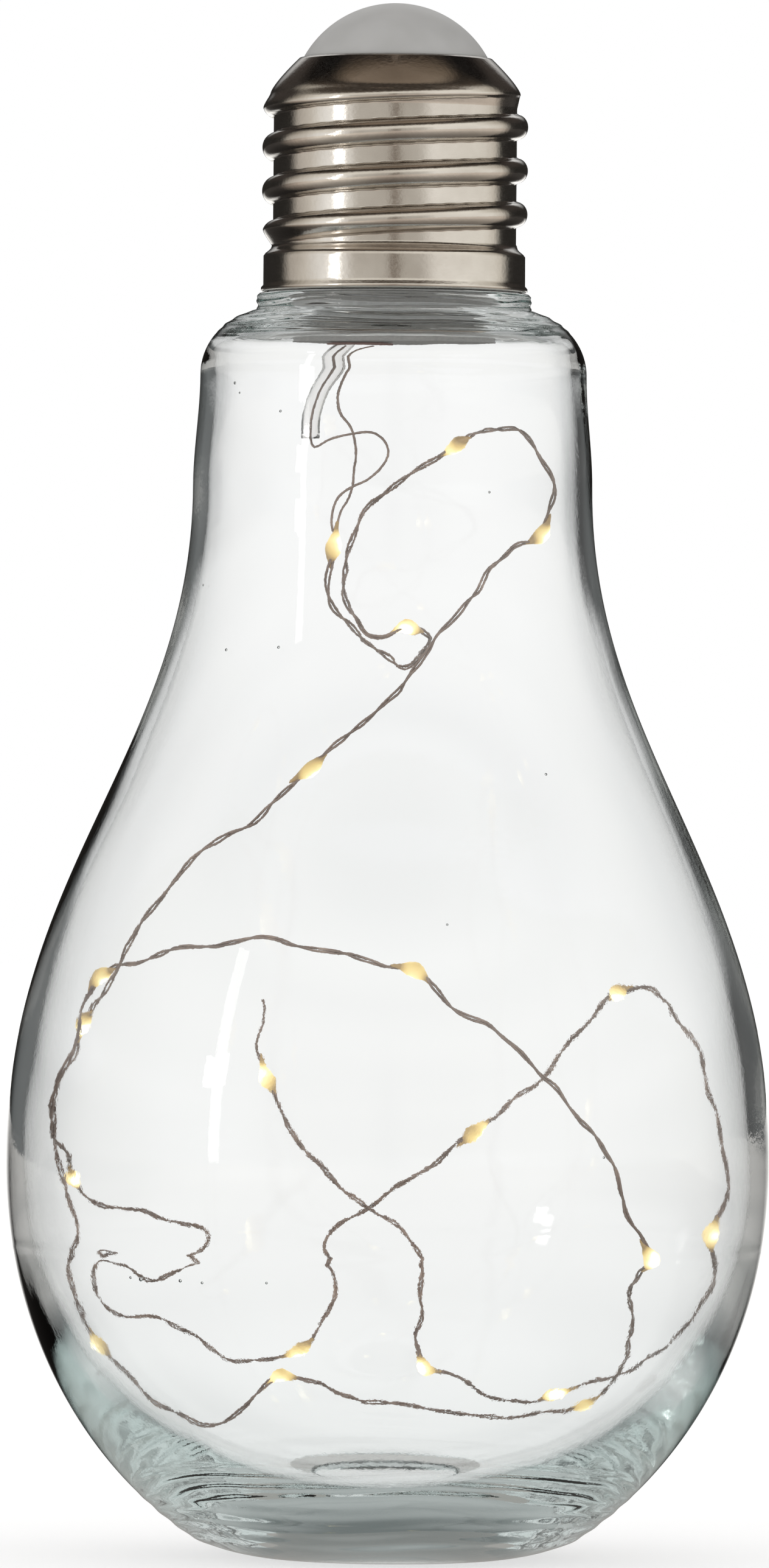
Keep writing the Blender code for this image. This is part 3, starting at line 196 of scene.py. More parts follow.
STRETCHES = [
    [(-9.3, -11.5, 143.0), (-7.6, -7.0, 138.6), (-2.6, 3.0, 134.4), (1.8, 8.0, 131.4),
     (4.6, 5.0, 133.0), (5.4, -4.0, 135.8)],
    [(-1.6, -8.5, 135.6), (-4.9, -6.2, 137.0), (-6.8, -1.0, 140.8), (-7.2, 6.0, 145.0),
     (-6.2, 10.6, 150.6), (-3.4, 11.0, 156.0), (3.0, 8.0, 160.6)],
    [(12.4, 1.0, 166.2), (17.0, -7.0, 167.2), (21.2, -12.0, 164.2), (23.2, -11.0, 158.8)],
    [(17.4, -9.0, 148.9), (13.2, -14.0, 143.8), (8.8, -18.0, 137.6), (3.4, -21.0, 130.6),
     (-2.0, -22.0, 124.0), (-6.6, -23.0, 120.4)],
    [(-15.4, -23.0, 112.6), (-19.0, -23.0, 108.4), (-27.4, -21.6, 102.6), (-31.5, -19.6, 98.6),
     (-35.3, -17.4, 93.6), (-38.2, -15.0, 89.0), (-41.0, -11.5, 83.6)],
    [(-47.6, 1.0, 72.5), (-50.2, 4.0, 68.4), (-50.8, 5.0, 60.2), (-49.0, 4.0, 53.3),
     (-47.4, 2.0, 45.0), (-48.7, 1.0, 38.9), (-47.8, -0.5, 34.7), (-46.2, -2.0, 30.4)],
    [(-40.0, -7.0, 22.4), (-34.8, -10.5, 18.0), (-30.0, -12.5, 15.2), (-26.0, -13.4, 15.0),
     (-21.6, -13.0, 17.4), (-19.0, -12.0, 20.0)],
    [(-11.4, -9.4, 21.5), (-7.0, -7.0, 18.8), (0.0, -3.4, 16.8), (6.0, 0.0, 15.6),
     (14.4, 3.0, 13.8), (22.0, 5.5, 13.4)],
    [(35.2, 6.5, 19.0), (37.0, 0.0, 26.0), (37.0, -9.0, 33.0), (36.2, -18.0, 38.2),
     (37.4, -25.0, 41.0)],
    [(35.6, -30.0, 48.5), (34.3, -31.0, 53.0), (31.0, -33.0, 60.6), (27.8, -34.0, 64.0),
     (23.9, -35.0, 69.0), (18.1, -35.0, 74.8), (12.2, -34.0, 78.9), (7.2, -32.0, 82.3)],
    [(-1.7, -31.0, 86.4), (-7.4, -30.5, 87.8), (-13.6, -29.5, 89.1), (-17.7, -28.0, 89.9),
     (-23.8, -25.5, 89.1), (-30.0, -21.0, 88.3), (-36.6, -15.0, 86.2)],
    [(-45.4, -9.0, 79.6), (-46.6, -11.0, 75.0), (-48.0, -12.5, 70.4), (-49.7, -11.0, 64.6),
     (-49.8, -4.6, 60.4), (-48.0, 4.4, 57.2)],
    [(-44.6, 18.6, 49.6), (-38.0, 23.0, 48.4), (-32.8, 26.0, 46.5), (-28.6, 28.0, 44.6),
     (-28.0, 29.0, 42.4), (-30.3, 29.0, 38.8), (-36.2, 26.0, 35.8), (-41.0, 22.0, 38.8),
     (-44.0, 19.0, 40.6), (-45.6, 16.5, 38.4), (-45.4, 14.6, 34.8), (-43.4, 14.0, 31.0),
     (-40.0, 14.6, 29.0), (-35.6, 16.2, 29.9), (-29.6, 17.4, 26.2), (-22.8, 17.0, 21.8)],
    [(-9.9, 16.6, 28.5), (-8.3, 18.0, 33.0), (-9.2, 19.4, 39.6), (-9.4, 20.0, 43.2),
     (-6.8, 20.0, 47.2), (-2.8, 19.6, 49.6), (1.6, 19.0, 52.9), (7.8, 18.2, 56.6)],
    [(16.4, 21.0, 63.0), (20.7, 26.0, 66.0), (24.6, 29.0, 69.2), (28.6, 28.6, 74.2),
     (32.4, 25.0, 79.2)],
    [(39.8, 16.0, 83.3), (43.6, 12.0, 79.8), (46.6, 8.4, 75.6), (48.6, 5.4, 70.2),
     (49.5, 3.4, 64.8), (51.0, 2.0, 59.4), (51.6, 1.0, 54.6), (50.8, 0.0, 50.2)],
    [(49.6, -0.6, 40.0), (48.6, 1.4, 33.6), (45.4, 5.0, 27.6), (41.6, 9.0, 23.4),
     (37.4, 12.4, 20.2), (32.6, 13.4, 18.4)],
    [(22.8, 15.6, 14.8), (19.0, 19.6, 14.2), (15.8, 19.8, 15.6), (12.8, 16.0, 18.4),
     (9.4, 11.6, 20.8)],
    [(4.6, 9.2, 27.0), (5.8, 9.6, 31.0), (5.4, 10.4, 36.0), (4.9, 11.4, 42.0),
     (2.6, 12.6, 45.6), (-1.6, 13.6, 48.6), (-6.6, 14.8, 52.6), (-11.4, 15.0, 57.0),
     (-15.4, 14.8, 61.8)],
    [(-20.2, 12.2, 73.3), (-19.6, 11.6, 76.6), (-19.8, 11.0, 79.8)],
]

# Camera
CAMERA_DISTANCE = 1.85
CAMERA_HEIGHT = 0.1168
CAMERA_SIDE = -0.0009
CAMERA_ROLL = math.radians(0.43)
VIEW_HEIGHT = 0.2370
SENSOR = 24.0


# Node helpers
def new_material(name):
    material = bpy.data.materials.new(name)
    material.use_nodes = True
    tree = material.node_tree
    return material, tree, tree.nodes["Principled BSDF"]


def add_node(tree, kind, **values):
    node = tree.nodes.new(kind)
    for key, value in values.items():
        setattr(node, key, value)
    return node


def set_inputs(node, **values):
    for key, value in values.items():
        node.inputs[key.replace("_", " ")].default_value = value


def feed(tree, socket, value):
    """Links the value to the socket, or sets a plain value on it."""
    if isinstance(value, bpy.types.NodeSocket):
        tree.links.new(value, socket)
    else:
        socket.default_value = value


def math_of(tree, operation, first, second):
    node = add_node(tree, "ShaderNodeMath", operation=operation)
    feed(tree, node.inputs[0], first)
    feed(tree, node.inputs[1], second)
    return node.outputs["Value"]


def glow_of(tree, kind, colour, strength):
    """Emission or background of this colour."""
    node = add_node(tree, kind)
    feed(tree, node.inputs["Color"], colour)
    set_inputs(node, Strength=strength)
    return node.outputs[0]


def choose_shader(tree, base, choices):
    """The base, or for a ray with a flag the shader beside that flag; a later pair wins."""
    for flag, shader in choices:
        blend = add_node(tree, "ShaderNodeMixShader")
        tree.links.new(flag, blend.inputs["Fac"])
        tree.links.new(base, blend.inputs[1])
        tree.links.new(shader, blend.inputs[2])
        base = blend.outputs["Shader"]
    return base


def ramp(tree, source, stops):
    """Colour of a ramp fed by a value; stops are (position, colour or grey)."""
    node = tree.nodes.new("ShaderNodeValToRGB")
    elements = node.color_ramp.elements
    while len(elements) < len(stops):
        elements.new(0.5)
    for element, (place, colour) in zip(elements, stops):
        element.position = place
        if not hasattr(colour, "__len__"):
            colour = (colour, colour, colour)
        element.color = (*colour, 1.0)
    tree.links.new(source, node.inputs["Fac"])
    return node.outputs["Color"]


def mix_colour(tree, factor, first, second, blend_type="MIX"):
    """Mix of two colours; the factor and the colours are sockets or plain values."""
    node = add_node(tree, "ShaderNodeMix", data_type="RGBA", blend_type=blend_type)
    for index, value in ((0, factor), (6, first), (7, second)):
        feed(tree, node.inputs[index], value)
    return node.outputs[2]


def to_unit(tree, source, low, high):
    """The value with low..high mapped to 0..1."""
    node = add_node(tree, "ShaderNodeMapRange")
    set_inputs(node, From_Min=low, From_Max=high)
    tree.links.new(source, node.inputs["Value"])
    return node.outputs["Result"]


def azimuth_of(tree, split):
    """Azimuth of a direction from 0 to 1: 0.5 is behind the lamp, 0 and 1 the camera's side."""
    around = math_of(tree, "ARCTAN2", split.outputs["X"], split.outputs["Y"])
    return to_unit(tree, around, -math.pi, math.pi)


def split_of(tree, vector):
    split = add_node(tree, "ShaderNodeSeparateXYZ")
    tree.links.new(vector, split.inputs[0])
    return split


def length_of(tree, vector):
    node = add_node(tree, "ShaderNodeVectorMath", operation="LENGTH")
    tree.links.new(vector, node.inputs[0])
    return node.outputs["Value"]


def bounced_in_glass(tree, path):
    """1 for light that has bounced off a surface on its way, else 0."""
    return math_of(tree, "GREATER_THAN", path.outputs["Glossy Depth"], 0.5)


def noise_of(tree, scale, detail=2.0, roughness=0.5, stretch=None):
    source = add_node(tree, "ShaderNodeTexCoord").outputs["Object"]
    texture = add_node(tree, "ShaderNodeTexNoise")
    set_inputs(texture, Scale=scale, Detail=detail, Roughness=roughness)
    if stretch:
        mapping = add_node(tree, "ShaderNodeMapping")
        set_inputs(mapping, Scale=stretch)
        tree.links.new(source, mapping.inputs["Vector"])
        source = mapping.outputs["Vector"]
    tree.links.new(source, texture.inputs["Vector"])
    return texture.outputs["Fac"]


def bump(tree, shader, height, distance, strength=1.0):
    node = add_node(tree, "ShaderNodeBump")
    set_inputs(node, Strength=strength, Distance=distance)
    tree.links.new(height, node.inputs["Height"])
    tree.links.new(node.outputs["Normal"], shader.inputs["Normal"])


# Materials
def painted_edge_shade(tree, shader, stops):
    """Painted shade: colour of clear material from its middle to its edge, darker where the surface
    turns edge-on to the view.
    """
    facing = add_node(tree, "ShaderNodeLayerWeight")
    set_inputs(facing, Blend=0.5)
    tree.links.new(ramp(tree, facing.outputs["Facing"], stops), shader.inputs["Base Color"])


def glass_material():
    material, tree, shader = new_material("clear_glass")
    set_inputs(shader, Roughness=0.0, IOR=1.5, Transmission_Weight=1.0)
    # Painted shade: the glass is coloured near black at its outline, where it turns edge-on to the view
    painted_edge_shade(tree, shader,
                [(0.0, (0.998, 1.0, 0.999)), (0.80, (0.98, 0.985, 0.985)), (0.87, (0.90, 0.91, 0.91)),
                 (0.93, (0.40, 0.41, 0.41)), (0.97, (0.12, 0.125, 0.125))])
    volume = add_node(tree, "ShaderNodeVolumeAbsorption")
    set_inputs(volume, Color=(0.62, 0.75, 0.73, 1.0), Density=9.0)
    tree.links.new(volume.outputs["Volume"], tree.nodes["Material Output"].inputs["Volume"])
    bump(tree, shader, noise_of(tree, 900.0, 3.0, 0.6), 0.00002, 0.20)
    return material


def metal_material():
    material, tree, shader = new_material("polished_nickel")
    set_inputs(shader, Metallic=1.0)
    tint = ramp(tree, noise_of(tree, 120.0, 3.0, 0.55),
                [(0.3, (0.60, 0.565, 0.52)), (0.7, (0.72, 0.69, 0.645))])
    # Painted shade: the base colour turns near black in the creases between the thread's ridges, found
    # by ambient occlusion
    crease_occlusion = add_node(tree, "ShaderNodeAmbientOcclusion", only_local=True, samples=8)
    set_inputs(crease_occlusion, Distance=0.0011)
    painted_crease_shade = ramp(tree, crease_occlusion.outputs["AO"], [(0.50, (0.05, 0.035, 0.03)), (0.72, (1.0, 1.0, 1.0))])
    tree.links.new(mix_colour(tree, 1.0, tint, painted_crease_shade, "MULTIPLY"), shader.inputs["Base Color"])
    rough = ramp(tree, noise_of(tree, 1400.0, 4.0, 0.6, (1.0, 1.0, 6.0)), [(0.3, 0.10), (0.7, 0.20)])
    tree.links.new(rough, shader.inputs["Roughness"])
    bump(tree, shader, noise_of(tree, 1500.0), 0.00002, 0.7)
    return material


def dome_material():
    material, tree, shader = new_material("frosted_plastic")
    set_inputs(shader, Roughness=0.42, IOR=1.49, Subsurface_Weight=0.35, Subsurface_Scale=1.0,
               Subsurface_Radius=(0.002, 0.002, 0.002))
    tint = ramp(tree, noise_of(tree, 160.0),
                [(0.3, (0.400, 0.398, 0.388)), (0.7, (0.445, 0.443, 0.435))])
    tree.links.new(tint, shader.inputs["Base Color"])
    bump(tree, shader, noise_of(tree, 3000.0, 2.0, 0.6), 0.00002, 0.3)
    return material


def plastic_material(name, dark, light, roughness, grain=1800.0):
    material, tree, shader = new_material(name)
    spots = noise_of(tree, grain, 3.0, 0.6)
    tree.links.new(ramp(tree, spots, [(0.3, dark), (0.7, light)]), shader.inputs["Base Color"])
    rough = ramp(tree, spots, [(0.3, roughness - 0.06), (0.7, roughness + 0.06)])
    tree.links.new(rough, shader.inputs["Roughness"])
    bump(tree, shader, spots, 0.00003, 0.3)
    return material


def plug_material():
    """Smoky plastic, with painted shade: dark where it faces down, paler on its sides."""
    material, tree, shader = new_material("smoky_plastic")
    set_inputs(shader, Roughness=0.42)
    split = split_of(tree, add_node(tree, "ShaderNodeNewGeometry").outputs["True Normal"])
    # Painted shade: the base colour darkens where the surface faces down
    side = ramp(tree, to_unit(tree, split.outputs["Z"], -1.0, 1.0),
                [(0.10, (0.13, 0.115, 0.10)), (0.35, (0.42, 0.41, 0.39)), (1.0, (0.46, 0.45, 0.43))])
    cloud = ramp(tree, noise_of(tree, 1800.0, 3.0, 0.6), [(0.3, 0.75), (0.7, 1.0)])
    tree.links.new(mix_colour(tree, 1.0, side, cloud, "MULTIPLY"), shader.inputs["Base Color"])
    return material


def sheet_metal_material(name, dark, light, roughness):
    material, tree, shader = new_material(name)
    set_inputs(shader, Metallic=1.0)
    lines = noise_of(tree, 900.0, 4.0, 0.6, (1.0, 1.0, 8.0))
    tree.links.new(ramp(tree, lines, [(0.3, dark), (0.7, light)]), shader.inputs["Base Color"])
    rough = ramp(tree, lines, [(0.3, roughness - 0.05), (0.7, roughness + 0.08)])
    tree.links.new(rough, shader.inputs["Roughness"])
    return material


def vinyl_material():
    material, tree, shader = new_material("clear_vinyl")
    set_inputs(shader, IOR=1.25, Transmission_Weight=1.0)
    # Painted shade: the vinyl is coloured darker at its outline, where it turns edge-on to the view
    painted_edge_shade(tree, shader,
                [(0.0, (0.93, 0.925, 0.92)), (0.7, (0.88, 0.875, 0.87)), (1.0, (0.45, 0.43, 0.42))])
    rough = ramp(tree, noise_of(tree, 700.0), [(0.3, 0.06), (0.7, 0.16)])
    tree.links.new(rough, shader.inputs["Roughness"])
    return material


def wire_material():
    material, tree, shader = new_material("enamelled_copper")
    set_inputs(shader, Metallic=0.35, Roughness=0.38, Coat_Weight=0.5, Coat_Roughness=0.15)
    tint = ramp(tree, noise_of(tree, 260.0, 3.0, 0.65),
                [(0.30, (0.21, 0.145, 0.115)), (0.55, (0.38, 0.275, 0.225)),
                 (0.75, (0.60, 0.45, 0.37))])
    tree.links.new(tint, shader.inputs["Base Color"])
    return material


def resin_material():
    """Amber drop, hot near its chip: the chip lies on the drop's own +X side."""
    material, tree, shader = new_material("amber_resin")
    set_inputs(shader, Roughness=0.18, IOR=1.5)
    place = add_node(tree, "ShaderNodeTexCoord")
    shift = add_node(tree, "ShaderNodeVectorMath", operation="SUBTRACT")
    shift.inputs[1].default_value = (0.00045, 0.0, 0.0)
    tree.links.new(place.outputs["Object"], shift.inputs[0])
    squeeze = add_node(tree, "ShaderNodeVectorMath", operation="MULTIPLY")
    squeeze.inputs[1].default_value = (560.0, 560.0, 400.0)
    tree.links.new(shift.outputs["Vector"], squeeze.inputs[0])
    far = length_of(tree, squeeze.outputs["Vector"])
    tint = ramp(tree, far,
                [(0.0, (1.0, 0.95, 0.76)), (0.45, (1.0, 0.88, 0.50)), (0.80, (0.80, 0.60, 0.24)),
                 (1.0, (0.50, 0.34, 0.16))])
    tree.links.new(tint, shader.inputs["Base Color"])
    tree.links.new(tint, shader.inputs["Emission Color"])
    heat = ramp(tree, far, [(0.0, 1.0), (0.34, 0.55), (0.60, 0.12), (1.0, 0.03)])
    tree.links.new(math_of(tree, "MULTIPLY", heat, 7.5), shader.inputs["Emission Strength"])
    return material


# Mesh helpers
def make_object(name, mesh, material):
    item = bpy.data.objects.new(name, mesh)
    mesh.materials.append(material)
    bpy.context.scene.collection.objects.link(item)
    return item


def smooth_mesh(name, shape):
    mesh = bpy.data.meshes.new(name)
    shape.to_mesh(mesh)
    shape.free()
    mesh.shade_smooth()
    return mesh


def weld(mesh, add_to=None):
    """Joins the points that lie together; add_to(shape) may then add to the shape."""
    shape = bmesh.new()
    shape.from_mesh(mesh)
    bmesh.ops.remove_doubles(shape, verts=shape.verts, dist=WELD_DISTANCE)
    if add_to:
        add_to(shape)
    shape.to_mesh(mesh)
    shape.free()


def unit(value):
    """The value kept between 0 and 1."""
    return min(1.0, max(0.0, value))


def lathe(name, profile, steps, material, push=None, closed=False):
    """Turns (r, z) points about Z; push(angle, r, z, index) gives an extra radial move."""
    shape = bmesh.new()
    rings = []
    for index, (radius, z) in enumerate(profile):
        if radius <= 0.0:
            rings.append([shape.verts.new((0.0, 0.0, z))])
            continue
        ring = []
        for i in range(steps):
            angle = 2 * math.pi * i / steps
            out = radius + (push(angle, radius, z, index) if push else 0.0)
            ring.append(shape.verts.new((out * math.cos(angle), out * math.sin(angle), z)))
        rings.append(ring)
    pairs = list(zip(rings, rings[1:]))
    if closed:
        pairs.append((rings[-1], rings[0]))
    for low, high in pairs:
        for i in range(steps):
            j = (i + 1) % steps
            if len(low) == 1:
                shape.faces.new((low[0], high[i], high[j]))
            elif len(high) == 1:
                shape.faces.new((low[i], high[0], low[j]))
            else:
                shape.faces.new((low[i], high[i], high[j], low[j]))
    bmesh.ops.recalc_face_normals(shape, faces=shape.faces)
    return make_object(name, smooth_mesh(name, shape), material)


def bezier(a, b, c, d, count):
    points = []
    for i in range(1, count + 1):
        t = i / count
        s = 1 - t
        points.append(tuple(
            s ** 3 * a[k] + 3 * s * s * t * b[k] + 3 * s * t * t * c[k] + t ** 3 * d[k]
            for k in range(2)))
    return points


# Glass bulb
def belly_to_neck(radius, neck_radius, neck_top):
    curve = bezier((radius, BULB_WIDEST_Z), (radius, BULB_WIDEST_Z + BELLY_PULL),
                   (neck_radius, NECK_WAIST_Z - NECK_PULL), (neck_radius, NECK_WAIST_Z), 60)
    low = curve[-1]
    steps = 12
    for i in range(1, steps + 1):
        part = i / steps
        curve.append((low[0] + (neck_top[0] - low[0]) * part * part * (3 - 2 * part),
                      low[1] + (neck_top[1] - low[1]) * part))
    return curve


def quarter(centre, radius, height, count):
    points = []
    for i in range(count + 1):
        turn = math.pi / 2 * i / count
        points.append((centre[0] + radius * math.cos(turn), centre[1] + height * math.sin(turn)))
    return points


def glass_inside():
    depth = BULB_WIDEST_Z - FLOOR_THICKNESS
    radius = BULB_RADIUS - BELLY_WALL
    power = 2 / FLOOR_SQUARENESS
    points = [(0, FLOOR_THICKNESS)]
    count = 44
    for i in range(1, count):
        turn = math.pi / 2 * i / count
        points.append((radius * math.sin(turn) ** power,
                       BULB_WIDEST_Z - depth * math.cos(turn) ** power))
    points.append((radius, BULB_WIDEST_Z))
    shoulder_z = RIM_TOP_Z - RIM_HEIGHT - SHOULDER_WALL - INNER_CORNER
    shoulder_radius = SHOULDER_NECK_RADIUS - NECK_WALL
    points += belly_to_neck(radius, NECK_RADIUS - NECK_WALL, (shoulder_radius, shoulder_z))
    corner = shoulder_radius - INNER_CORNER
    points += quarter((corner, shoulder_z), INNER_CORNER, INNER_CORNER, 16)[1:]
    top = points[-1][1]
    points += [(corner + (BORE_RADIUS - corner) * i / 6, top) for i in range(1, 7)]
    points += [(BORE_RADIUS, top + (RIM_TOP_Z - top) * i / 6) for i in range(1, 7)]
    return points


def glass_outside():
    collar_z = RIM_TOP_Z - RIM_HEIGHT
    shoulder_z = collar_z - SHOULDER_HEIGHT
    points = [(RIM_RADIUS - RIM_EDGE, RIM_TOP_Z), (RIM_RADIUS, RIM_TOP_Z - RIM_EDGE)]
    centre = RIM_RADIUS - SHOULDER_INSET
    shoulder = quarter((centre, shoulder_z), SHOULDER_NECK_RADIUS - centre, SHOULDER_HEIGHT, 60)
    points += [(RIM_RADIUS, points[1][1] + (collar_z - points[1][1]) * i / 10) for i in range(1, 11)]
    points += [point for point in shoulder[::-1] if point[0] > RIM_RADIUS]
    wall = belly_to_neck(BULB_RADIUS, NECK_RADIUS, (SHOULDER_NECK_RADIUS, shoulder_z))
    points += wall[-2::-1]
    points.append((BULB_RADIUS, BULB_WIDEST_Z))
    drop = (BULB_WIDEST_Z - HEEL_HEIGHT) / math.sqrt(1 - (HEEL_RADIUS / BULB_RADIUS) ** 2)
    turn_end = math.acos(HEEL_RADIUS / BULB_RADIUS)
    count = 120
    for i in range(1, count + 1):
        turn = turn_end * i / count
        points.append((BULB_RADIUS * math.cos(turn), BULB_WIDEST_Z - drop * math.sin(turn)))
    heading = Vector((-BULB_RADIUS * math.sin(turn_end), -drop * math.cos(turn_end))).normalized()
    run_on = Vector(points[-1]) + heading * HEEL_PULL
    points += bezier(points[-1], run_on, (FOOT_RADIUS + HEEL_SPREAD, HEEL_LIFT),
                     (FOOT_RADIUS, 0), 12)
    inner = FOOT_RADIUS - FOOT_RING_WIDTH
    for i in range(13):
        turn = math.pi / 2 * i / 12
        points.append((inner * math.cos(turn), PUSH_UP * math.sin(turn)))
    points[-1] = (0, PUSH_UP)
    return points


def wave(angle, z, around, along, seed):
    """Smooth noise on a cylinder: around is in lumps per turn, along in lumps per metre."""
    spread = around / (2 * math.pi)
    return noise.noise(Vector((spread * math.cos(angle), spread * math.sin(angle),
                               z * along + seed)))


def lumps(angle, z, kind):
    size, around, along, seed = kind
    return size * wave(angle, z, around, along, seed)


def ring_wave(z, pitch, bend):
    """Uneven rings round the glass, one for each pitch of height."""
    return RING_SIZE * math.sin(2 * math.pi * z / pitch + bend)


def radius_at(profile, z):
    """Radius of the profile where it passes this height."""
    for (near, low), (far, high) in zip(profile, profile[1:]):
        if low != high and min(low, high) <= z <= max(low, high):
            return near + (far - near) * (z - low) / (high - low)
    return 0.0


def add_bubbles(shape):
    """Tiny voids halfway through the front wall: their faces point into the void."""
    inside = glass_inside()
    outside = glass_outside()
    for across, height, size in BUBBLES:
        z = height * MM
        wall = (radius_at(inside, z) + radius_at(outside, z)) / 2
        depth = math.sqrt(wall ** 2 - (across * MM) ** 2)
        place = Matrix.Translation((across * MM, -depth, z))
        ball = bmesh.ops.create_icosphere(shape, subdivisions=1, radius=size * MM, matrix=place)
        faces = list({face for vert in ball["verts"] for face in vert.link_faces})
        bmesh.ops.reverse_faces(shape, faces=faces)
        for face in faces:
            face.smooth = True


def build_glass():
    inside = glass_inside()
    profile = inside + glass_outside()
    mouth_z = RIM_TOP_Z - RIM_HEIGHT - SHOULDER_WALL

    def push_inner(angle, radius, z):
        if z >= mouth_z - 0.0005:
            return 0.0
        move = lumps(angle, z, INNER_LUMPS) + lumps(angle, z, INNER_RIPPLES)
        move += lumps(angle, z, INNER_STREAKS)
        move += unit((z - MOUTH_ROUGH_Z) / 0.003) * lumps(angle, z, MOUTH_RIPPLES)
        return move * min(1.0, radius / CALM_RADIUS)

    def push_outer(angle, radius, z):
        if z > RIM_TOP_Z - RIM_EDGE * 1.01 or z < HEEL_LIFT * 2:
            return 0.0
        bend = lumps(angle, z, RING_BEND)
        move = lumps(angle, z, OUTER_LUMPS)
        move += SEAM_HEIGHT * math.exp(-((z - SEAM_Z) / SEAM_WIDTH) ** 2)
        rough = unit((z - SHOULDER_ROUGH_Z) / 0.0015) * unit((RIM_TOP_Z - z) / 0.0008)
        move += rough * ring_wave(z, SHOULDER_RING_PITCH, 5 * bend)
        move += rough * lumps(angle, z, SHOULDER_RIPPLES)
        heel = unit((HEEL_ROUGH_Z - z) / 0.003) * unit((z - 0.0006) / 0.001)
        move += heel * ring_wave(z, HEEL_RING_PITCH, 3 * bend)
        wide = max(0.0, (radius - BULB_RADIUS + WAIST_BAND) / WAIST_BAND)
        return move - WAIST_INSET * wide * wide

    def push(angle, radius, z, index):
        return (push_inner if index < len(inside) else push_outer)(angle, radius, z)

    bulb = lathe("glass_body", profile, GLASS_STEPS, glass_material(), push)
    weld(bulb.data, add_bubbles)
    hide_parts("glass_bulb")
    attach(bulb, "root")
    return bulb


# Metal cap
def ridge(z, angle):
    along = (z - THREAD_BOTTOM_Z - THREAD_START) / THREAD_PITCH - angle / (2 * math.pi)
    across = (along - round(along)) / RIDGE_SHARE
    lift = math.sqrt(1 - 4 * across * across) if abs(across) < 0.5 else 0.0
    run_in = unit((z - THREAD_BOTTOM_Z) / THREAD_RUN_IN)
    run_out = unit((CONE_BOTTOM_Z - z) / THREAD_RUN_OUT)
    shoulder = CONE_BASE_RADIUS - ROOT_RADIUS
    return (CREST_RADIUS - ROOT_RADIUS) * lift * run_in * run_out + shoulder * (1 - run_out)


def cap_profile():
    """(radius, height, share of the thread's rise) up the outside of the shell."""
    lip = 0.00035
    low = SHELL_BOTTOM_Z
    top = THREAD_BOTTOM_Z
    points = [(SKIRT_RADIUS + 0.00015, low, 0), (SKIRT_RADIUS + lip, low + 0.0002, 0),
              (SKIRT_RADIUS + lip, low + 0.0006, 0), (SKIRT_RADIUS, low + 0.0010, 0)]
    points += [(SKIRT_RADIUS, low + 0.0010 + (SKIRT_HEIGHT - 0.0020) * i / 8, 0)
               for i in range(1, 9)]
    points += [(SKIRT_RADIUS - 0.0003, top - 0.0006, 0), (GROOVE_RADIUS + 0.0003, top - 0.0002, 0),
               (GROOVE_RADIUS, top + 0.0001, 0)]
    rows = 130
    for i in range(3, rows + 1):
        points.append((ROOT_RADIUS, top + THREAD_HEIGHT * i / rows, 1))
    for i in range(1, 19):
        part = i / 18
        points.append((CONE_TOP_RADIUS + (CONE_BASE_RADIUS - CONE_TOP_RADIUS)
                       * (1 - part ** CONE_ROUNDNESS), CONE_BOTTOM_Z + CONE_HEIGHT * part, 0))
    return points


def build_shell(material):
    outer = cap_profile()
    inner = [(radius - SHEET, z, rise) for radius, z, rise in outer[::-1]]
    inner[0] = (CONE_TOP_RADIUS - SHEET * 0.6, SHELL_TOP_Z - SHEET * 0.7, 0)
    inner[-1] = (SKIRT_RADIUS - SHEET, SHELL_BOTTOM_Z, 0)
    full = outer + inner

    def push(angle, radius, z, index):
        dent = 0.00003 * wave(angle, z, 9, 90, 2.2)
        return (ridge(z, angle) if full[index][2] else 0.0) + dent

    shell = lathe("metal_shell", [(r, z) for r, z, _ in full], 220, material, push, closed=True)
    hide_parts("cap_shell")
    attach(shell, "cap")


# Frosted button
def build_button(material):
    dome_radius = 0.01385
    height = 0.0081
    wall = 0.0015
    flange = 0.0013
    base = button_high.z - height
    sphere = (dome_radius ** 2 + height ** 2) / (2 * height)
    centre = button_high.z - sphere
    reach = math.asin(dome_radius / sphere)
    outer = [(sphere * math.sin(reach * i / 36), centre + sphere * math.cos(reach * i / 36))
             for i in range(37)]
    outer[0] = (0, button_high.z)
    flange_low = button_low.z
    flange_top = flange_low + 0.0010
    inside = sphere - wall
    inner_radius = dome_radius - wall
    inner_reach = math.asin(inner_radius / inside)
    boss = 0.0024
    edge = 0.0002
    boss_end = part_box("switch_plunger")[1].z + GAP
    boss_reach = math.asin(boss / inside)
    inner = [(inside * math.sin(turn), centre + inside * math.cos(turn))
             for turn in (inner_reach + (boss_reach - inner_reach) * i / 16 for i in range(17))]
    profile = outer + [
        (dome_radius, base - edge), (dome_radius, flange_top + edge),
        (dome_radius + edge, flange_top), (dome_radius + flange - edge, flange_top),
        (dome_radius + flange, flange_top - edge), (dome_radius + flange, flange_low + edge),
        (dome_radius + flange - edge, flange_low), (inner_radius + edge, flange_low),
        (inner_radius, flange_low + edge)] + inner + [
        (boss, boss_end + edge), (boss - edge, boss_end), (0, boss_end)]
    dome = lathe("frosted_dome", profile, 128, material)
    dome.data.set_sharp_from_angle(angle=math.radians(50))
    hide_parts("dome_button")
    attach(dome, "button")


def build_spring(material):
    low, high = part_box("button_spring")
    half = 0.0003
    radius = high.x - half
    turns = 4.5
    per_turn = 40
    count = round(turns * per_turn)
    points = []
    for i in range(count + 1):
        angle = 2 * math.pi * i / per_turn
        points.append((radius * math.cos(angle), radius * math.sin(angle),
                       low.z + half + (high.z - low.z - 2 * half) * i / count))
    curve = tube_curve("return_spring", points, half, 3)
    coil = to_mesh(curve, material)
    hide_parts("button_spring")
    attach(coil, "cap")
    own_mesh(coil)


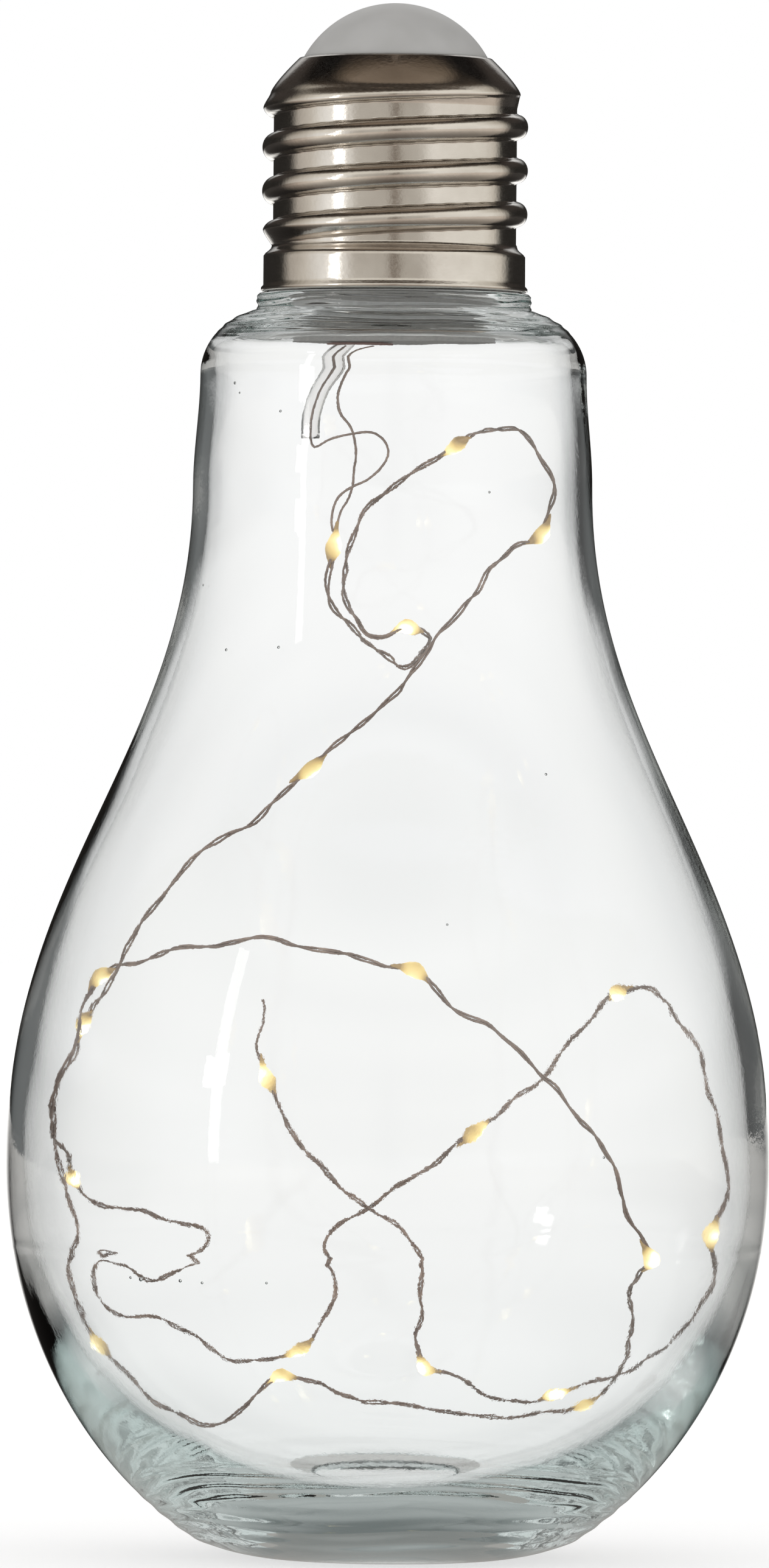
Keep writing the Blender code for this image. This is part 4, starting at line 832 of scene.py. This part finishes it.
# Curves
def tube_curve(name, points, radius, resolution):
    curve = bpy.data.curves.new(name, "CURVE")
    curve.dimensions = "3D"
    curve.bevel_depth = radius
    curve.bevel_resolution = resolution
    curve.use_fill_caps = True
    spline = curve.splines.new("POLY")
    spline.points.add(len(points) - 1)
    for place, point in zip(spline.points, points):
        place.co = (*point, 1.0)
    item = bpy.data.objects.new(name, curve)
    bpy.context.scene.collection.objects.link(item)
    return item


def to_mesh(item, material):
    graph = bpy.context.evaluated_depsgraph_get()
    mesh = bpy.data.meshes.new_from_object(item.evaluated_get(graph))
    name = item.name
    bpy.data.objects.remove(item, do_unlink=True)
    weld(mesh)
    mesh.shade_smooth()
    mesh.materials.clear()
    return make_object(name, mesh, material)


def smooth_route(points, spacing):
    """Evenly spaced points on a curve through the given ones (Catmull-Rom), raised to the rim."""
    places = [Vector(point) + ROUTE_LIFT for point in points]
    places = [2 * places[0] - places[1], *places, 2 * places[-1] - places[-2]]
    fine = []
    for a, b, c, d in zip(places, places[1:], places[2:], places[3:]):
        for i in range(12):
            t = i / 12
            fine.append(0.5 * (2 * b + (c - a) * t + (2 * a - 5 * b + 4 * c - d) * t * t
                               + (3 * b - a - 3 * c + d) * t ** 3))
    fine.append(places[-2])
    lengths = run_lengths(fine)
    count = max(2, round(lengths[-1] / spacing) + 1)
    result = []
    k = 0
    for i in range(count):
        target = lengths[-1] * i / (count - 1)
        while k < len(lengths) - 2 and lengths[k + 1] < target:
            k += 1
        part = (target - lengths[k]) / max(lengths[k + 1] - lengths[k], 1e-9)
        result.append(fine[k].lerp(fine[k + 1], part))
    return result


def run_lengths(points):
    lengths = [0.0]
    for a, b in zip(points, points[1:]):
        lengths.append(lengths[-1] + (b - a).length)
    return lengths


def frames_along(line):
    """Each point of the line with two directions across it that don't twist."""
    turn = Vector((1, 0, 0))
    for i, point in enumerate(line):
        tangent = (line[min(i + 1, len(line) - 1)] - line[max(i - 1, 0)]).normalized()
        turn = (turn - tangent * turn.dot(tangent)).normalized()
        yield point, turn, tangent.cross(turn)


# The string of lights
def string_knots():
    knots = []
    for drop, stretch in zip(DROPS, STRETCHES):
        knots += [drop, *stretch]
    return knots


def pair_share(run):
    """0 on a lead, 1 on the twisted pair."""
    return unit(run / PAIR_START)


def strand(name, lead, side, stop_at_last_drop):
    """One enamelled wire: its own lead, then one side of the twisted pair."""
    knots = string_knots()
    if stop_at_last_drop:
        knots = knots[:-len(STRETCHES[-1])]
    line = smooth_route([*lead, *knots], STRAND_SPACING)
    lengths = run_lengths(line)
    lead_length = run_lengths(smooth_route(lead, STRAND_SPACING))[-1]
    points = []
    for (point, turn, other), length in zip(frames_along(line), lengths):
        run = length - lead_length
        drift = TWIST_DRIFT * noise.noise(Vector((run * TWIST_DRIFT_RATE, 0.0, 4.0)))
        phase = 2 * math.pi * run / TWIST_PITCH + drift
        widening = SPREAD_DRIFT * noise.noise(Vector((run * SPREAD_DRIFT_RATE, 2.0, 0.0)))
        spread = PAIR_SPREAD * (1.0 + widening)
        fade = pair_share(run)
        offset = (turn * math.cos(phase) + other * math.sin(phase)) * spread * side * fade
        own = noise.noise_vector(Vector((run * OWN_RATE, 0.0, 9.0 * side))) * OWN_SIZE
        points.append((point + offset + shared_kink(run) + own * fade) * MM)
    points[0] = line[0] * MM
    return tube_curve(name, points, STRAND_RADIUS * MM, 2)


def shared_kink(run):
    """Small bends that both enamelled wires, and the drops on them, have in common."""
    return noise.noise_vector(Vector((run * KINK_RATE, 7.0, 0.0))) * KINK_SIZE * pair_share(run)


def bend_drop(drop, line, middle):
    """Moves each ring of the drop onto the curved line that it lies on."""
    turn = drop.rotation_quaternion.inverted()
    for vertex in drop.data.vertices:
        place = middle + vertex.co.z / MM / FINE_SPACING
        k = math.floor(place)
        if k < 0 or k > len(line) - 2:
            continue
        on_line = line[k].lerp(line[k + 1], place - k) + shared_kink(place * FINE_SPACING)
        centre = turn @ ((on_line - line[middle]) * MM)
        vertex.co = Vector((vertex.co.x + centre.x, vertex.co.y + centre.y, centre.z))


def drop_mesh(name, seed):
    """A resin drop drawn out to a point along each wire, fuller on the chip's side."""
    pick = random.Random(seed)
    rows = 18
    steps = 20
    lean = pick.uniform(-0.12, 0.12)
    shape = bmesh.new()
    rings = []
    half = DROP_LENGTH / 2 * MM
    radius = DROP_DIAMETER / 2 * MM
    for row in range(rows + 1):
        along = row / rows
        skew = along + lean * math.sin(math.pi * along)
        belly = math.sin(math.pi * skew) ** DROP_FULLNESS
        width = radius * (DROP_NECK + (1 - DROP_NECK) * belly)
        if row in (0, rows):
            width = radius * 0.05
        z = -half + 2 * half * along
        ring = []
        for i in range(steps):
            angle = 2 * math.pi * i / steps
            full = 1.0 + 0.10 * math.cos(angle) * math.sin(math.pi * along)
            lump = 1.0 + 0.05 * noise.noise(Vector((math.cos(angle), math.sin(angle),
                                                    along * 3 + seed)))
            r = min(width * full * lump, radius * 0.98)
            ring.append(shape.verts.new((r * math.cos(angle), r * math.sin(angle), z)))
        rings.append(ring)
    for low, high in zip(rings, rings[1:]):
        for i in range(steps):
            j = (i + 1) % steps
            shape.faces.new((low[i], low[j], high[j], high[i]))
    shape.faces.new(rings[0][::-1])
    shape.faces.new(rings[-1])
    return smooth_mesh(name, shape)


def build_string():
    noise.seed_set(KINK_SEED)
    wire = wire_material()
    resin = resin_material()
    line = smooth_route(string_knots(), FINE_SPACING)
    pick = random.Random(DROP_SEED)
    for number, spot in enumerate(DROPS, 1):
        place = Vector(spot) + ROUTE_LIFT
        middle = min(range(len(line)), key=lambda k: (line[k] - place).length)
        first = line[max(0, middle - DROP_REACH)]
        last = line[min(len(line) - 1, middle + DROP_REACH)]
        lean = (last - first).normalized()
        name = f"drop_{number:02d}"
        drop = make_object(name, drop_mesh(name, number), resin)
        drop.rotation_mode = "QUATERNION"
        spin = Quaternion((0, 0, 1), pick.uniform(-2.6, -0.6))
        drop.rotation_quaternion = lean.to_track_quat("Z", "Y") @ spin
        drop.location = line[middle] * MM
        bend_drop(drop, line, middle)
        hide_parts(f"light_{number:02d}")
        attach(drop, "cap")

    route = smooth_route(SLEEVE_ROUTE, 0.8)
    sleeve = sleeve_mesh(route, vinyl_material())
    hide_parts("clear_sleeve")
    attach(sleeve, "cap")

    a = strand("strand_a", LEAD_A_ROUTE, 1.0, False)
    b = strand("strand_b", LEAD_B_ROUTE, -1.0, True)
    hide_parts("lead_sleeved", *[f"wire_{i:02d}" for i in range(1, 21)])
    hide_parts("lead_bare")
    for item in (a, b):
        item.data.materials.append(wire)
        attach(item, "cap")


def sleeve_mesh(route, material):
    """A thin-walled soft tube along the route, with open ends."""
    steps = 24
    shape = bmesh.new()
    skins = []
    for point, turn, other in frames_along(route):
        rings = []
        for radius in (SLEEVE_RADIUS, SLEEVE_RADIUS - SLEEVE_WALL):
            ring = []
            for k in range(steps):
                angle = 2 * math.pi * k / steps
                out = (turn * math.cos(angle) + other * math.sin(angle)) * radius * 0.985
                ring.append(shape.verts.new((point + out) * MM))
            rings.append(ring)
        skins.append(rings)
    for low, high in zip(skins, skins[1:]):
        for k in range(steps):
            j = (k + 1) % steps
            shape.faces.new((low[0][k], low[0][j], high[0][j], high[0][k]))
            shape.faces.new((low[1][j], low[1][k], high[1][k], high[1][j]))
    for rings, order in ((skins[0], 1), (skins[-1], -1)):
        for k in range(steps):
            j = (k + 1) % steps
            face = (rings[0][j], rings[0][k], rings[1][k], rings[1][j])
            shape.faces.new(face[::order])
    bmesh.ops.recalc_face_normals(shape, faces=shape.faces)
    return make_object("soft_sleeve", smooth_mesh("soft_sleeve", shape), material)


# Pieces that keep their solid
def dress(names, material):
    for name in names:
        node = nodes[name]
        node.data.materials.clear()
        node.data.materials.append(material)
        node.data.shade_smooth()
        node.data.set_sharp_from_angle(angle=math.radians(35))


def dress_inner_parts():
    dress(["battery_holder", "battery_door"], plug_material())
    dress(["seal_ring"],
          plastic_material("silicone", (0.56, 0.56, 0.55), (0.74, 0.74, 0.73), 0.5, 900.0))
    dress(["wire_grommet"],
          plastic_material("grommet_rubber", (0.24, 0.125, 0.10), (0.34, 0.19, 0.15), 0.55, 1200.0))
    dress(["push_switch"],
          plastic_material("black_plastic", (0.018, 0.018, 0.019), (0.035, 0.035, 0.037), 0.42))
    dress(["switch_plunger"],
          plastic_material("white_plastic", (0.70, 0.70, 0.68), (0.80, 0.80, 0.78), 0.38))
    dress(["circuit_board"],
          plastic_material("board", (0.018, 0.105, 0.045), (0.030, 0.150, 0.065), 0.36, 700.0))
    dress(["button_cell_1", "button_cell_2", "button_cell_3"],
          sheet_metal_material("cell_steel", (0.60, 0.61, 0.62), (0.74, 0.75, 0.76), 0.22))
    dress(["contact_strip", "contact_plate"],
          sheet_metal_material("contact_brass", (0.60, 0.44, 0.20), (0.74, 0.57, 0.30), 0.24))


# Surroundings
def build_world():
    world = bpy.data.worlds.new("studio")
    bpy.context.scene.world = world
    world.use_nodes = True
    tree = world.node_tree
    tree.nodes.clear()
    output = add_node(tree, "ShaderNodeOutputWorld")
    place = add_node(tree, "ShaderNodeTexCoord")
    split = split_of(tree, place.outputs["Generated"])
    height = to_unit(tree, split.outputs["Z"], -1.0, 1.0)
    azimuth = azimuth_of(tree, split)
    path = add_node(tree, "ShaderNodeLightPath")

    # What the metal shows
    low = ramp(tree, azimuth,
               [(0.0, (0.20, 0.16, 0.13)), (0.02, (0.56, 0.53, 0.48)), (0.10, (0.60, 0.57, 0.52)),
                (0.125, (0.90, 0.88, 0.85)), (0.19, (1.0, 0.99, 0.97)), (0.24, (0.70, 0.66, 0.60)),
                (0.29, (0.52, 0.48, 0.43)), (0.325, (0.02, 0.018, 0.016)),
                (0.665, (0.02, 0.018, 0.016)), (0.70, (0.74, 0.70, 0.63)),
                (0.74, (0.92, 0.89, 0.83)), (0.90, (0.94, 0.91, 0.86)), (0.935, (0.58, 0.55, 0.50)),
                (0.98, (0.54, 0.51, 0.46)), (1.0, (0.20, 0.16, 0.13))])
    high = ramp(tree, azimuth,
                [(0.0, (0.82, 0.78, 0.71)), (0.20, (0.92, 0.88, 0.81)), (0.28, (0.46, 0.42, 0.36)),
                 (0.34, (0.04, 0.034, 0.03)), (0.43, (0.05, 0.04, 0.035)), (0.455, (0.9, 0.9, 0.9)),
                 (0.545, (0.9, 0.9, 0.9)), (0.57, (0.05, 0.04, 0.035)), (0.66, (0.04, 0.034, 0.03)),
                 (0.70, (0.56, 0.52, 0.45)), (0.80, (1.0, 0.97, 0.90)),
                 (0.93, (0.96, 0.92, 0.85)), (1.0, (0.82, 0.78, 0.71))])
    rise = ramp(tree, height, [(0.60, 0.0), (0.70, 1.0)])
    levels = ramp(tree, height,
                  [(0.0, (0.10, 0.075, 0.06)), (0.25, (0.16, 0.12, 0.10)), (0.36, (0.80, 0.78, 0.75)),
                   (0.5, (1.0, 1.0, 1.0)), (0.78, (1.0, 1.0, 1.0)), (0.84, (0.10, 0.08, 0.065)),
                   (0.91, (0.03, 0.024, 0.02)), (0.95, (0.28, 0.23, 0.19)), (1.0, (0.20, 0.16, 0.13))])
    mirror = mix_colour(tree, 1.0, mix_colour(tree, rise, low, high), levels, "MULTIPLY")

    # What the glass shows: white straight through, a darker room at eye level where it bounced
    clear = ramp(tree, height,
                 [(0.0, 0.90), (0.35, 1.0), (0.70, 1.0), (0.85, 0.90), (1.0, 0.75)])
    room = ramp(tree, azimuth,
                [(0.0, (0.70, 0.71, 0.70)), (0.14, (0.85, 0.85, 0.84)), (0.22, (0.35, 0.37, 0.37)),
                 (0.34, (0.08, 0.08, 0.08)), (0.44, (0.20, 0.21, 0.21)), (0.485, (0.07, 0.075, 0.075)),
                 (0.53, (0.18, 0.19, 0.19)), (0.60, (0.08, 0.08, 0.08)), (0.66, (0.60, 0.61, 0.60)),
                 (0.74, (0.35, 0.36, 0.36)), (0.86, (0.85, 0.85, 0.84)), (1.0, (0.70, 0.71, 0.70))])
    open_air = ramp(tree, height,
                    [(0.12, 0.92), (0.18, 0.45), (0.25, 0.45), (0.32, 0.92), (0.41, 0.92), (0.45, 0.0),
                     (0.54, 0.0), (0.58, 0.92), (0.70, 0.92), (0.76, 0.35), (0.84, 0.35), (0.90, 0.92)])
    inside = mix_colour(tree, open_air, room, (0.86, 0.865, 0.86, 1.0))
    seen = mix_colour(tree, bounced_in_glass(tree, path), clear, inside)

    kind = "ShaderNodeBackground"
    sky = choose_shader(tree, glow_of(tree, kind, (1.0, 0.99, 0.98, 1.0), 0.92), (
        (path.outputs["Is Glossy Ray"], glow_of(tree, kind, mirror, 1.05)),
        (path.outputs["Is Transmission Ray"], glow_of(tree, kind, seen, 1.0)),
        (path.outputs["Is Camera Ray"], glow_of(tree, kind, (1.0, 1.0, 1.0, 1.0), 1.0))))
    tree.links.new(sky, output.inputs["Surface"])


def mirrored_floor(tree):
    """Colour of the floor in the metal: by azimuth like the world's, and darker close to the lamp, a
    painted shadow.
    """
    place = add_node(tree, "ShaderNodeTexCoord").outputs["Object"]
    side = ramp(tree, azimuth_of(tree, split_of(tree, place)),
                [(0.0, (0.34, 0.29, 0.25)), (0.12, (0.58, 0.53, 0.47)), (0.19, (0.62, 0.57, 0.51)),
                 (0.26, (0.32, 0.27, 0.23)), (0.325, (0.03, 0.027, 0.025)), (0.44, (0.03, 0.027, 0.025)),
                 (0.47, (0.85, 0.84, 0.82)), (0.53, (0.85, 0.84, 0.82)), (0.56, (0.03, 0.027, 0.025)),
                 (0.665, (0.03, 0.027, 0.025)), (0.70, (0.44, 0.39, 0.34)), (0.90, (0.50, 0.45, 0.40)),
                 (1.0, (0.34, 0.29, 0.25))])
    reach = length_of(tree, place)
    # Painted shadow: the floor seen in the metal darkens and turns grey towards the lamp's foot
    depth = ramp(tree, reach, [(0.0, 0.22), (0.10, 0.32), (0.25, 0.55), (0.50, 1.0), (1.0, 1.6)])
    near_lamp_shade = ramp(tree, reach, [(0.06, 1.0), (0.13, 0.0)])
    shaded = mix_colour(tree, 1.0, side, depth, "MULTIPLY")
    return mix_colour(tree, near_lamp_shade, shaded, (0.38, 0.37, 0.35, 1.0))


def floor_in_glass(tree):
    """Rings of light and shade round the foot, seen after a bounce inside the glass."""
    reach = length_of(tree, add_node(tree, "ShaderNodeTexCoord").outputs["Object"])
    return ramp(tree, reach,
                [(0.0, (0.70, 0.74, 0.73)), (0.018, (0.07, 0.09, 0.09)), (0.030, (0.56, 0.60, 0.59)),
                 (0.045, (0.16, 0.18, 0.18)), (0.070, (0.74, 0.76, 0.75)), (0.10, (0.22, 0.24, 0.24)),
                 (0.15, (0.58, 0.58, 0.56)), (0.22, (0.40, 0.40, 0.385)), (0.35, (0.60, 0.59, 0.57)),
                 (0.60, (0.48, 0.475, 0.46)), (1.0, (0.54, 0.53, 0.51))])


def build_floor():
    mesh = bpy.data.meshes.new("floor")
    shape = bmesh.new()
    bmesh.ops.create_circle(shape, cap_ends=True, segments=96, radius=6.0)
    shape.to_mesh(mesh)
    shape.free()
    material, tree, shader = new_material("pale_floor")
    set_inputs(shader, Roughness=0.9, Base_Color=(0.50, 0.50, 0.50, 1.0), Specular_IOR_Level=0.0)
    kind = "ShaderNodeEmission"
    total = add_node(tree, "ShaderNodeAddShader")
    tree.links.new(shader.outputs["BSDF"], total.inputs[0])
    tree.links.new(glow_of(tree, kind, (1.0, 1.0, 1.0, 1.0), 0.58), total.inputs[1])
    path = add_node(tree, "ShaderNodeLightPath")
    through = path.outputs["Is Transmission Ray"]
    bounced = math_of(tree, "MULTIPLY", bounced_in_glass(tree, path), through)
    # Metal shows the floor dim; glass shows it white, or dim where the light bounced inside
    surface = choose_shader(tree, total.outputs["Shader"], (
        (path.outputs["Is Glossy Ray"], glow_of(tree, kind, mirrored_floor(tree), 1.0)),
        (through, glow_of(tree, kind, (0.98, 0.98, 0.975, 1.0), 1.0)),
        (bounced, glow_of(tree, kind, floor_in_glass(tree), 1.0))))
    tree.links.new(surface, tree.nodes["Material Output"].inputs["Surface"])
    floor = make_object("floor", mesh, material)


def area_light(name, azimuth, height, distance, size, power, aim_z):
    """A soft box; azimuth is counted from the camera's side, positive to the right."""
    data = bpy.data.lights.new(name, "AREA")
    data.shape = "RECTANGLE"
    data.size, data.size_y = size
    data.energy = power
    data.color = (1.0, 0.985, 0.965)
    lamp = bpy.data.objects.new(name, data)
    turn = math.radians(azimuth)
    lamp.location = (distance * math.sin(turn), -distance * math.cos(turn), height)
    aim = Vector((0, 0, aim_z)) - lamp.location
    lamp.rotation_euler = aim.to_track_quat("-Z", "Y").to_euler()
    bpy.context.scene.collection.objects.link(lamp)
    return lamp


def build_lights():
    strip = area_light("strip_left", -52, 0.33, 0.9, (0.06, 0.56), 0.26, 0.12)
    strip.visible_transmission = False
    area_light("strip_core", -55, 0.27, 0.9, (0.06, 0.08), 0.16, 0.06)


def build_camera():
    data = bpy.data.cameras.new("camera")
    data.sensor_fit = "VERTICAL"
    data.sensor_height = SENSOR
    data.sensor_width = SENSOR
    data.lens = SENSOR * CAMERA_DISTANCE / VIEW_HEIGHT
    data.clip_start = 0.01
    camera = bpy.data.objects.new("camera", data)
    camera.location = (CAMERA_SIDE, -CAMERA_DISTANCE, CAMERA_HEIGHT)
    upright = Quaternion((1, 0, 0), math.pi / 2)
    camera.rotation_mode = "QUATERNION"
    camera.rotation_quaternion = upright @ Quaternion((0, 0, 1), CAMERA_ROLL)
    bpy.context.scene.collection.objects.link(camera)
    bpy.context.scene.camera = camera


def main():
    light_paths = bpy.context.scene.cycles
    light_paths.max_bounces = 24
    light_paths.glossy_bounces = 20
    light_paths.transmission_bounces = 24
    build_camera()
    build_string()
    build_glass()
    build_shell(metal_material())
    build_button(dome_material())
    spring = sheet_metal_material("spring_steel", (0.46, 0.46, 0.47), (0.62, 0.62, 0.63), 0.28)
    build_spring(spring)
    dress(["contact_spring"], spring)
    dress_inner_parts()
    build_world()
    build_floor()
    build_lights()
    bpy.context.scene.view_settings.view_transform = "Standard"


main()
